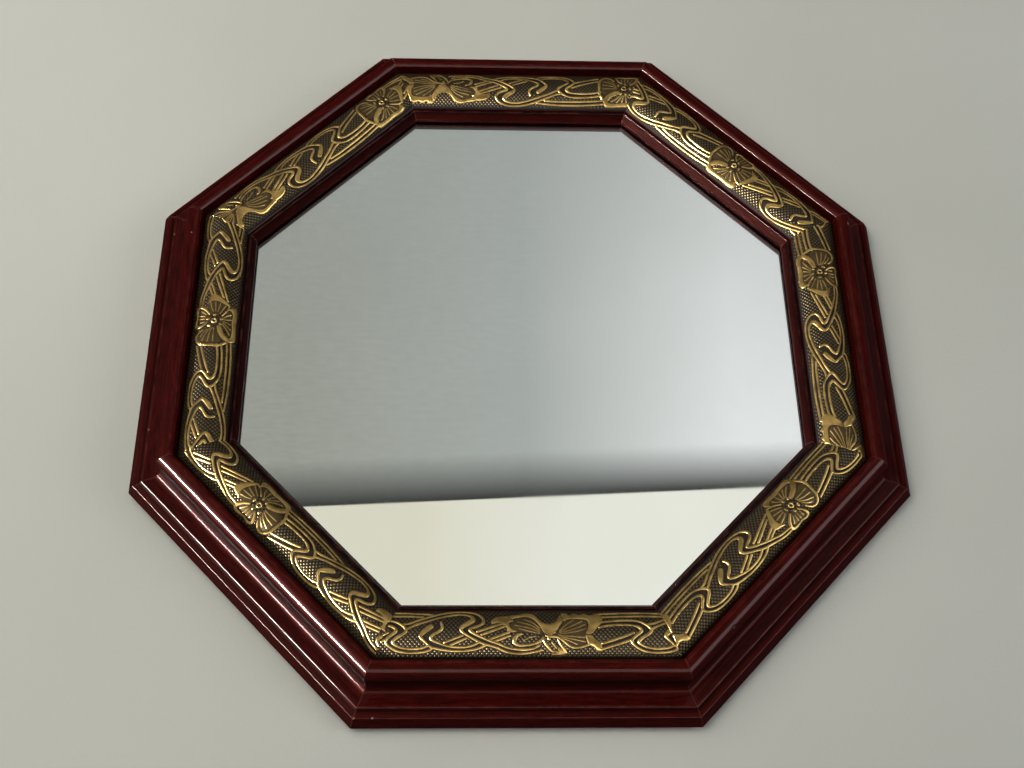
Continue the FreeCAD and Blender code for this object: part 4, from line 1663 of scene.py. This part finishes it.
@dataclass
class EmbossedBand:
    """The eight strips of pressed brass in the rails' rounded seat."""

    finishes: Finishes
    ornament: Ornament = field(default_factory=Ornament)
    outer_edge: Point = (198.4, 24.1)
    inner_edge: Point = (171.4, 22.0)
    crown: float = 5.0
    sheet: float = 1.0
    cell: float = 0.28
    hidden_edge: float = 0.9
    back_rows: int = 6
    mitre_gap: float = 0.1
    hollow_reach: int = 5
    hollow_depth: float = 0.13
    outer_shade_reach: float = 1.0
    inner_shade_reach: float = 2.5
    edge_shade: float = 1.4
    flower_at: Mapping[Side, float] = field(default_factory=lambda: {
        Side.TOP: 70.0,
        Side.UPPER_RIGHT: 11.0,
        Side.RIGHT: -43.0,
        Side.LOWER_RIGHT: -26.7,
        Side.BOTTOM: 109.6,
        Side.LOWER_LEFT: 25.5,
        Side.LEFT: 4.7,
        Side.UPPER_LEFT: 56.0,
    })

    def build(self) -> None:
        """Makes and fastens the strips."""
        for side in Side:
            strip = new_object(f"band_{side.word}", self.strip(side))
            fasten(strip, FRAME_BODY, Slot.BRASS, f"embossed_band_{side.word}")

    @property
    def girth(self) -> float:
        """Length of the strip's face across."""
        half = 2 * math.atan2(2 * self.crown, math.dist(self.outer_edge, self.inner_edge))
        return math.dist(self.outer_edge, self.inner_edge) * half / math.sin(half)

    def section(self, rows: int, lift: float) -> tuple[np.ndarray, np.ndarray]:
        """Points across the strip.

        Args:
            rows: number of points.
            lift: distance outside the sheet's face.

        Returns:
            (apothem, height) of each point from the outer edge, and the way it faces.
        """
        face = arc(np.array(self.outer_edge), np.array(self.inner_edge), self.crown, rows - 1)
        way = np.gradient(face, axis=0)
        facing = np.column_stack([way[:, 1], -way[:, 0]]) / np.linalg.norm(way, axis=1, keepdims=True)
        return face + facing * lift, facing

    def strip(self, side: Side) -> bpy.types.Mesh:
        """Presses the ornament into one strip.

        Args:
            side: the rail that carries it.

        Returns:
            A closed mesh with its gilding stored, and its hollows together with painted shade along both
            edges.
        """
        rows = round(self.girth / self.cell) + 1
        columns = round(2 * self.outer_edge[0] * MITRE_SLOPE / self.cell) + 1
        face, facing = self.section(rows, 0.0)
        from_edge = np.linspace(0, self.girth, rows)
        reach = np.linspace(-1, 1, columns)[::-1, None]
        along = reach * face[None, :, 0] * MITRE_SLOPE
        across = np.broadcast_to(from_edge + self.hidden_edge, along.shape)
        pressed = self.ornament.relief((-along - self.flower_at[side]).ravel(), across.ravel())
        height, gilt = (values.reshape(along.shape) for values in pressed)
        front = face[None] + facing[None] * height[..., None]
        back = self.section(self.back_rows, -self.sheet)[0][::-1]
        loop = np.concatenate([front, np.broadcast_to(back, (columns, *back.shape))], axis=1)
        place = reach * (loop[..., 0] * MITRE_SLOPE - self.mitre_gap)
        points = np.stack([loop[..., 0], place, loop[..., 1] + WOOD_BACK], axis=-1).reshape(-1, 3)
        points = points @ np.array(Matrix.Rotation(side.turn, 3, "Z")).T
        mesh = new_mesh(f"band_{side.word}", points, capped(*loop.shape[:2]))
        mesh.materials.append(self.finishes.brass)
        # Painted shade: the strip darkens over its last millimetres at both edges, widest at the inner
        # one.
        edge = np.minimum(from_edge / self.outer_shade_reach, (self.girth - from_edge) / self.inner_shade_reach)
        hollow_and_edge_shade = np.maximum(self.hollows(height), np.clip(self.edge_shade - edge, 0, 1))
        spare = np.zeros((columns, self.back_rows))
        store(mesh, "gilt", np.concatenate([gilt, spare], axis=1).ravel())
        store(mesh, "hollow_and_edge_shade", np.concatenate([hollow_and_edge_shade, spare], axis=1).ravel())
        return mesh

    def hollows(self, height: np.ndarray) -> np.ndarray:
        """Finds what lies low.

        Args:
            height: the relief's height at each place.

        Returns:
            How far each place lies below the mean of its surroundings, from 0 to 1.
        """
        mean = height
        steps = range(-self.hollow_reach, self.hollow_reach + 1)
        for axis in (0, 1):
            mean = sum(np.roll(mean, step, axis) for step in steps) / len(steps)
        return np.clip((mean - height) / self.hollow_depth, 0, 1)


def stacked(levels: Sequence[Point], sides: int, turn: float = 0.0) -> tuple[np.ndarray, Faces]:
    """A solid of stacked regular outlines.

    Args:
        levels: (radius of the corners, height) from the bottom up.
        sides: number of corners.
        turn: angle of the first corner.

    Returns:
        Points and faces.
    """
    angle = turn + np.arange(sides) * math.tau / sides
    round_trip = np.column_stack([np.cos(angle), np.sin(angle)])
    outlines = [np.column_stack([radius * round_trip, np.full(sides, z)]) for radius, z in levels]
    return np.vstack(outlines), capped(len(levels), sides)


def slab(under: Sequence[Point], over: Sequence[Point], bottom: Faces) -> tuple[np.ndarray, Faces]:
    """A solid between two outlines.

    Args:
        under: points of the lower outline, anticlockwise from above.
        over: points of the upper one.
        bottom: faces that fill the lower outline.

    Returns:
        Points and faces.
    """
    count = len(under)
    top = [[n + count for n in face[::-1]] for face in bottom]
    return np.array([*under, *over], dtype=float), [*bottom, *top, *walls(2, count)]


def repeated(points: np.ndarray, faces: Faces, places: Sequence[Point]) -> tuple[np.ndarray, Faces]:
    """Sets copies of a part at several places.

    Args:
        points: the part's points.
        faces: its faces.
        places: where each copy goes.

    Returns:
        Points and faces of all copies.
    """
    shifts = range(0, len(points) * len(places), len(points))
    copies = [[n + shift for n in face] for shift in shifts for face in faces]
    return np.vstack([points + place for place in places]), copies


@dataclass
class MirrorGlass:
    """The octagonal pane and the silver behind it."""

    finishes: Finishes
    apothem: float = 174.2
    back: float = 10.5
    front: float = 13.5
    silver: float = 0.06
    silver_arris: float = 0.02
    air: float = 0.02
    arris: float = 0.4
    crease: float = 20.0

    def build(self) -> None:
        """Makes and fastens pane and silver."""
        film = self.back + self.silver
        self.plate("mirror_silver", self.back, film, self.silver_arris, self.finishes.silver)
        self.plate("mirror_pane", film + self.air, self.front, self.arris, self.finishes.glass)

    def plate(self, name: str, low: float, high: float, arris: float, finish: bpy.types.Material) -> None:
        """Makes an octagonal plate with eased edges.

        Args:
            name: the piece's name.
            low: height of its back over the wood's back.
            high: height of its front.
            arris: how far its edges are eased.
            finish: its material.
        """
        low, high = low + WOOD_BACK, high + WOOD_BACK
        inner, outer = (self.apothem - arris) * TO_CORNER, self.apothem * TO_CORNER
        levels = [(inner, low), (outer, low + arris), (outer, high - arris), (inner, high)]
        mesh = new_mesh(name, *stacked(levels, SIDES, HALF_TURN))
        mesh.materials.append(finish)
        crisp(mesh, self.crease)
        fasten(new_object(name, mesh), FRAME_BODY, Slot.MIRROR, "mirror_glass")


@dataclass
class BackFittings:
    """What holds the glass in and the rails together, and keeps the back off the wall."""

    recipes: Recipes
    finishes: Finishes
    rabbet: float = 175.0
    point_low: float = 6.8
    point_thick: float = 0.5
    point_half: float = 5.0
    point_cover: float = 9.0
    point_bite: float = 7.0
    point_place: float = 33.0
    point_rib: float = 0.45
    nail_high: float = 9.0
    nail_thick: float = 0.6
    nail_leg: float = 6.0
    nail_inset: float = 8.0
    nail_step: float = 20.0
    pad_radius: float = 7.0
    pad_height: float = 4.0
    pad_round: float = 0.8
    pad_round_points: int = 6
    pad_dish: tuple[Point, ...] = ((0.15, 0.5), (0.45, 0.42), (0.7, 0.1))
    pad_at: float = 205.0
    pad_count: int = 4
    pad_sides: int = 40

    def build(self) -> None:
        """Makes and fastens points, nails and pads, and dresses the board."""
        self.glazing_points()
        self.mitre_nails()
        self.wall_pads()
        dress("backing_board", self.finishes.board)

    def glazing_points(self) -> None:
        """Two thin steel points to a rail, ribbed down the middle."""
        start, end, tip = self.rabbet - self.point_cover, self.rabbet, self.rabbet + self.point_bite
        half, low = self.point_half, self.point_low + WOOD_BACK
        outline = [(start, -half), (end, -half), (tip, 0.0), (end, half), (start, half), (start, 0.0)]
        rib = low - self.point_rib
        under = [(x, y, rib if (x, y) == (start, 0.0) else low) for x, y in outline]
        over = [(x, y, low + self.point_thick) for x, y in outline]
        one = slab(under, over, [[5, 4, 3, 2], [5, 2, 1, 0]])
        pair = repeated(*one, [(0, -self.point_place, 0), (0, self.point_place, 0)])
        self.turned("glazing_points", pair, SIDES, 0.0, self.finishes.zinc, Slot.ZINC)

    def mitre_nails(self) -> None:
        """Two steel V-nails across each mitre, flush with the back."""
        reach = self.nail_leg * math.sqrt(0.5)
        thick = self.nail_thick * math.sqrt(2)
        wide = reach + thick
        outline = [(0, 0), (reach, -reach), (wide, -reach), (thick, 0), (wide, reach), (reach, reach)]
        under = [(x, y, WOOD_BACK) for x, y in outline]
        over = [(x, y, WOOD_BACK + self.nail_high) for x, y in outline]
        one = slab(under, over, [[3, 2, 1, 0], [5, 4, 3, 0]])
        first = (self.rabbet + self.nail_inset) * TO_CORNER
        pair = repeated(*one, [(first, 0, 0), (first + self.nail_step, 0, 0)])
        self.turned("mitre_nails", pair, SIDES, HALF_TURN, self.finishes.zinc, Slot.ZINC)

    def wall_pads(self) -> None:
        """Four round rubber pads with a dished foot."""
        radius, soft = self.pad_radius, self.pad_round
        bend = np.linspace(0, math.pi / 2, self.pad_round_points)
        dish = [(radius * share, height) for share, height in self.pad_dish]
        foot = [(radius - soft + soft * math.sin(a), soft - soft * math.cos(a)) for a in bend]
        points, faces = stacked([*dish, *foot, (radius, self.pad_height)], self.pad_sides)
        one = points + (self.pad_at, 0, 0), faces
        self.turned("wall_pads", one, self.pad_count, 2 * HALF_TURN, self.finishes.rubber, Slot.RUBBER)

    def turned(
        self,
        name: str,
        part: tuple[np.ndarray, Faces],
        copies: int,
        turn: float,
        finish: bpy.types.Material,
        slot: Slot,
    ) -> None:
        """Repeats a part round the frame and fastens the group.

        Args:
            name: the node it stands for.
            part: points and faces of the part at angle 0.
            copies: how many there are.
            turn: angle of the first.
            finish: their material.
            slot: their material slot.
        """
        values = {"Copies": copies, "First turn": turn, "Finish": finish}
        group = self.recipes.turned.make(name, new_mesh(f"one_of_{name}", *part), values)
        crisp(group.data)
        group.name = f"{name}_set"
        fasten(group, FRAME_BODY, slot, name)


@dataclass
class StrapHanger:
    """A strap, its two screws and the D ring that swings in its loop."""

    hand: Hand
    recipes: Recipes
    finishes: Finishes
    across: float = 196.0
    loop_at: float = 45.0
    loop_height: float = 2.12
    strap_thick: float = 0.8
    strap_layers: int = 2
    screw_first: float = 10.0
    screw_step: float = 11.0
    screw_count: int = 2
    head_radius: float = 3.0
    head_height: float = 1.7
    head_fall: float = 0.82
    head_rings: Point = (0.0, 0.0, 0.3, 0.55, 0.75, 0.9, 1.0)
    recess_half: float = 0.42
    recess_reach: float = 1.7
    recess_depth: float = 0.9
    recess_taper: float = 0.8
    recess_points: int = 9
    shank_radius: float = 1.5
    shank_length: float = 12.0
    shank_straight: float = 0.8
    shank_taper: float = 0.9
    shank_tip: float = 0.1
    wire_radius: float = 1.0
    wire_sides: int = 14
    bar_half: float = 5.5
    corner: float = 1.8
    corner_points: int = 7
    leg: float = 3.0
    bow: float = 7.3
    bow_points: int = 25

    def build(self) -> None:
        """Makes the ring and screws and dresses the strap."""
        dress(f"hanger_strap_{self.hand.word}", self.finishes.plated)
        self.screws()
        self.ring()

    def ring_line(self) -> np.ndarray:
        """Draws the wire's centre line: a straight bar, rounded corners, short legs and a bow.

        Returns:
            Its points; the bar lies on the first axis.
        """
        quarter = np.linspace(0, math.pi / 2, self.corner_points)
        bend = np.column_stack([np.sin(quarter), 1 - np.cos(quarter)]) * self.corner
        right = bend + (self.bar_half, 0)
        half = np.linspace(0, math.pi, self.bow_points)
        bow = np.column_stack([np.cos(half) * (self.bar_half + self.corner), np.sin(half) * self.bow])
        left = right[::-1] * (-1, 1)
        return np.vstack([right, bow + (0, self.corner + self.leg), left])

    def ring(self) -> None:
        """Bends the D ring and fastens it to its own body."""
        flat = self.ring_line() + (self.hand.value * self.across, self.loop_at)
        points = np.column_stack([flat, np.full(len(flat), self.loop_height)])
        ring = self.recipes.wire.make(f"d_ring_{self.hand.word}", closed_line("ring_line", points), {
            "Wire radius": self.wire_radius * MM,
            "Wire sides": self.wire_sides,
            "Finish": self.finishes.plated,
        })
        ring.data.shade_smooth()
        fasten(ring, f"ring_{self.hand.word}", Slot.PLATED, f"hanger_ring_{self.hand.word}")

    def head(self) -> np.ndarray:
        """Draws a pan head with a cross recess, its top downwards.

        Returns:
            Rings of points from the recess's floor to the head's edge.
        """
        tip = math.atan2(self.recess_half, self.recess_reach)
        valley = np.linspace(tip, math.pi / 2 - tip, self.recess_points)
        quarter = np.array([0.0, tip / 2, *valley, (math.pi - tip) / 2])
        angle = np.concatenate([quarter + n * math.pi / 2 for n in range(4)])
        near, far = np.sort(np.abs([np.cos(angle), np.sin(angle)]), axis=0)
        cross = np.minimum(self.recess_reach / far, self.recess_half / np.maximum(near, TINY))
        radius = cross + (self.head_radius - cross) * np.array(self.head_rings)[:, None]
        radius[0] *= self.recess_taper
        fall = self.head_fall * (radius / self.head_radius) ** 4
        dome = self.head_height * np.sqrt(1 - fall)
        dome[0] = self.head_height - self.recess_depth
        return np.stack([radius * np.cos(angle), radius * np.sin(angle), -dome], axis=-1)

    def screw(self) -> bpy.types.Mesh:
        """Makes one screw, head down.

        Returns:
            Its mesh, with the head's seat at the origin.
        """
        head = self.head()
        seat = head[-1] * (1, 1, 0)
        slim = self.shank_radius / self.head_radius
        neck = seat * slim
        end = neck * self.shank_taper + (0, 0, self.shank_length * self.shank_straight)
        tip = neck * self.shank_tip + (0, 0, self.shank_length)
        rings = np.stack([*head, seat, neck, end, tip])
        return new_mesh("one_screw", rings.reshape(-1, 3), capped(*rings.shape[:2]))

    def screws(self) -> None:
        """Sets the screws down the strap."""
        seat = WOOD_BACK - self.strap_layers * self.strap_thick
        first = Vector((self.hand.value * self.across, self.loop_at - self.screw_first, seat)) * MM
        group = self.recipes.row.make(f"hanger_screws_{self.hand.word}_set", self.screw(), {
            "Copies": self.screw_count,
            "First place": first,
            "Step": Vector((0, -self.screw_step, 0)) * MM,
            "Finish": self.finishes.zinc,
        })
        crisp(group.data)
        fasten(group, FRAME_BODY, Slot.ZINC, f"hanger_screws_{self.hand.word}")


class LampUse(Enum):
    """What a lamp does: it shows in glossy surfaces, or it lights the scene."""

    SHINE = "shine"
    LIGHT = "light"


WARM = (1.0, 0.97, 0.92)
COOL = (0.92, 0.96, 1.0)


class Lamp(NamedTuple):
    """A soft box that looks at the mirror."""

    name: str
    place: Point
    size: Point
    watts: float
    tint: Colour
    use: LampUse

    def hang(self) -> None:
        """Hangs the lamp in the scene."""
        light = bpy.data.lights.new(self.name, "AREA")
        light.shape = "RECTANGLE"
        light.size, light.size_y = metres(self.size)
        light.energy, light.color = self.watts, self.tint
        lamp = bpy.data.objects.new(self.name, light)
        lamp.location = Vector(self.place) * MM
        lamp.rotation_euler = (-lamp.location).to_track_quat("-Z", "Y").to_euler()
        lamp.visible_camera = lamp.visible_transmission = False
        lamp.visible_diffuse = self.use is LampUse.LIGHT
        lamp.visible_glossy = self.use is LampUse.SHINE
        bpy.context.scene.collection.objects.link(lamp)


@dataclass(frozen=True)
class PaleFloor:
    """A pale table top with a faint leathery grain, which glossy surfaces don't show."""

    half: float = 4000.0
    low: Colour = (0.49, 0.495, 0.445)
    high: Colour = (0.54, 0.545, 0.50)
    lumps: float = 3.0
    span: Point = (0.3, 0.7)
    roughness: float = 0.9
    grain: float = 420.0
    relief: float = 0.4
    relief_strength: float = 0.35

    def build(self) -> bpy.types.Object:
        """Lays the floor.

        Returns:
            The floor.
        """
        half = self.half
        corners = np.array([(-half, -half, 0), (half, -half, 0), (half, half, 0), (-half, half, 0)])
        mesh = new_mesh("floor", corners, [[0, 1, 2, 3]])
        material, graph = new_material("pale_floor")
        place = graph.object_place()
        tone = graph.fit(graph.noise(place, self.lumps, FEW_OCTAVES), *self.span)
        grain = graph.noise(place, self.grain, MANY_OCTAVES)
        surface(graph, {
            "Base Color": graph.blend(tone, self.low, self.high),
            "Roughness": self.roughness,
            "Specular IOR Level": 0.0,
            "Normal": graph.bump(grain, self.relief, self.relief_strength),
        })
        mesh.materials.append(material)
        floor = new_object("floor", mesh)
        floor.visible_glossy = False
        return floor


@dataclass(frozen=True)
class PaintedCard:
    """A glowing card overhead, a painted room for the glass to reflect: white, then a shadow line, then
    grey.

    Pairs of lengths tell where one tone begins to give way to the next and where it is gone.
    """

    height: float = 1400.0
    half: float = 1000.0
    front_edge: float = -1500.0
    back_edge: float = 1320.0
    white_start: Point = (170.0, 230.0)
    white_end: tuple[Point, Point] = ((-317.0, 420.0), (508.0, 460.0))
    edge_blur: Point = (-1.0, 1.0)
    shadow: Point = (3.0, 88.0)
    cream_to_white: Point = (-120.0, 150.0)
    dim_to_grey: Point = (-360.0, 70.0)
    grey_to_pale: Point = (70.0, 470.0)
    to_distant: Point = (100.0, 1000.0)
    distant_share: float = 0.8
    weave_lumps: float = 130.0
    weave_length: float = 0.3
    weave_span: Point = (0.3, 0.7)
    weave_share: float = 0.13
    cream: Colour = (0.80, 0.757, 0.63)
    white: Colour = (0.926, 0.90, 0.827)
    front: Colour = (0.09, 0.09, 0.09)
    dark: Colour = (0.055, 0.056, 0.053)
    dim: Colour = (0.345, 0.343, 0.301)
    grey: Colour = (0.438, 0.453, 0.445)
    pale: Colour = (0.94, 0.93, 0.95)
    distant: Colour = (0.36, 0.37, 0.36)
    weave: Colour = (0.60, 0.61, 0.60)

    def build(self) -> bpy.types.Object:
        """Hangs the card.

        Returns:
            The card.
        """
        half, low, high = self.half, self.front_edge, self.back_edge
        corners = [(-half, low), (-half, high), (half, high), (half, low)]
        mesh = new_mesh("card", np.array([(*p, self.height) for p in corners]), [[0, 1, 2, 3]])
        material, graph = new_material("painted_card")
        x, y, _ = graph.parts(graph.object_place())
        (left, left_end), (right, right_end) = self.white_end
        slope = (right_end - left_end) / (right - left)
        edge = graph.maths("MULTIPLY_ADD", x, slope, (left_end - slope * left) * MM)
        past = graph.maths("SUBTRACT", y, edge)
        white = graph.blend(graph.fit(x, *metres(self.cream_to_white)), self.cream, self.white)
        white = graph.blend(graph.fit(y, *metres(self.white_start)), self.front, white)
        grey = graph.blend(graph.fit(past, *metres(self.shadow)), self.dark, self.greys(graph, x, y, past))
        glow = graph.made("ShaderNodeEmission", {
            "Color": graph.blend(graph.fit(past, *metres(self.edge_blur)), white, grey),
            "Strength": 1.0,
        })
        graph.add("ShaderNodeOutputMaterial", {"Surface": glow})
        mesh.materials.append(material)
        return new_object("card", mesh)

    def greys(self, graph: Graph, x: Socket, y: Socket, past: Socket) -> Socket:
        """Paints what lies past the white.

        Args:
            graph: the material's graph.
            x: place to the right.
            y: place to the back.
            past: how far a place lies past the white's end.

        Returns:
            The colour.
        """
        grey = graph.blend(graph.fit(x, *metres(self.dim_to_grey)), self.dim, self.grey)
        grey = graph.blend(graph.fit(x, *metres(self.grey_to_pale)), grey, self.pale)
        far = graph.fit(past, *metres(self.to_distant), 0.0, self.distant_share)
        grey = graph.blend(far, grey, self.distant)
        drawn_out = graph.joined(graph.product(x, self.weave_length), y, 0.0)
        threads = graph.noise(drawn_out, self.weave_lumps, MANY_OCTAVES)
        weave = graph.fit(threads, *self.weave_span, 0.0, self.weave_share)
        return graph.blend(weave, grey, self.weave)


@dataclass
class Studio:
    """Pale floor, an overhead card, soft light and the camera."""

    eye: Point = (-33.31, -362.94, 685.85)
    sight: Point = (0.035591, 0.446375, -0.894138)
    level: Point = (0.999347, -0.010293, 0.034640)
    focal_pixels: float = 1243.28
    image_width: float = 1024.0
    sensor: float = 36.0
    room_left: Colour = (0.03, 0.03, 0.03)
    room_right: Colour = (0.08, 0.083, 0.086)
    room_span: Point = (-0.4, 0.9)
    lamps: tuple[Lamp, ...] = (
        Lamp("window", (-1695.0, -815.0, 800.0), (600.0, 260.0), 520.0, WARM, LampUse.SHINE),
        Lamp("left_panel", (-1500.0, -700.0, 900.0), (1500.0, 900.0), 7.0, WARM, LampUse.SHINE),
        Lamp("front_panel", (0.0, -1200.0, 1310.0), (1600.0, 1100.0), 34.0, WARM, LampUse.SHINE),
        Lamp("right_panel", (1650.0, -620.0, 1060.0), (1600.0, 900.0), 40.0, COOL, LampUse.SHINE),
        Lamp("soft_box", (-550.0, 100.0, 1385.0), (2000.0, 1600.0), 42.0, WARM, LampUse.LIGHT),
        Lamp("fill", (1500.0, -100.0, 1100.0), (900.0, 700.0), 10.0, COOL, LampUse.LIGHT),
    )

    def build(self) -> None:
        """Sets up floor, card, lights, room and camera."""
        PaleFloor().build()
        PaintedCard().build()
        for lamp in self.lamps:
            lamp.hang()
        self.room()
        self.camera()

    def room(self) -> None:
        """A dim room round the table, a little lighter to the right."""
        world = bpy.data.worlds.new("room")
        world.use_nodes = True
        world.node_tree.nodes.clear()
        graph = Graph(world.node_tree)
        side = graph.parts(graph.add("ShaderNodeTexCoord").outputs["Generated"])[0]
        colour = graph.blend(graph.fit(side, *self.room_span), self.room_left, self.room_right)
        glow = graph.made("ShaderNodeBackground", {"Color": colour, "Strength": 1.0})
        graph.add("ShaderNodeOutputWorld", {"Surface": glow})
        bpy.context.scene.world = world

    def camera(self) -> None:
        """Puts the camera where the photograph was taken from."""
        lens = bpy.data.cameras.new("camera")
        lens.sensor_width = self.sensor
        lens.lens = self.focal_pixels * self.sensor / self.image_width
        camera = bpy.data.objects.new("camera", lens)
        right, ahead = Vector(self.level), Vector(self.sight)
        turn = Matrix((right, right.cross(ahead), -ahead)).transposed()
        camera.matrix_world = Matrix.Translation(Vector(self.eye) * MM) @ turn.to_4x4()
        bpy.context.scene.collection.objects.link(camera)
        bpy.context.scene.camera = camera
        bpy.context.scene.view_settings.view_transform = "Standard"
        bpy.context.scene.view_settings.look = "None"


def main() -> None:
    """Builds the mirror's sub-assemblies in order."""
    logging.basicConfig(level=logging.INFO, format="%(name)s %(message)s")
    finishes, recipes = Finishes(Effects()), Recipes()
    FrameMoulding(recipes, finishes).build()
    EmbossedBand(finishes).build()
    MirrorGlass(finishes).build()
    BackFittings(recipes, finishes).build()
    for hand in Hand:
        StrapHanger(hand, recipes, finishes).build()
    Studio().build()


if __name__ == "__main__":
    main()
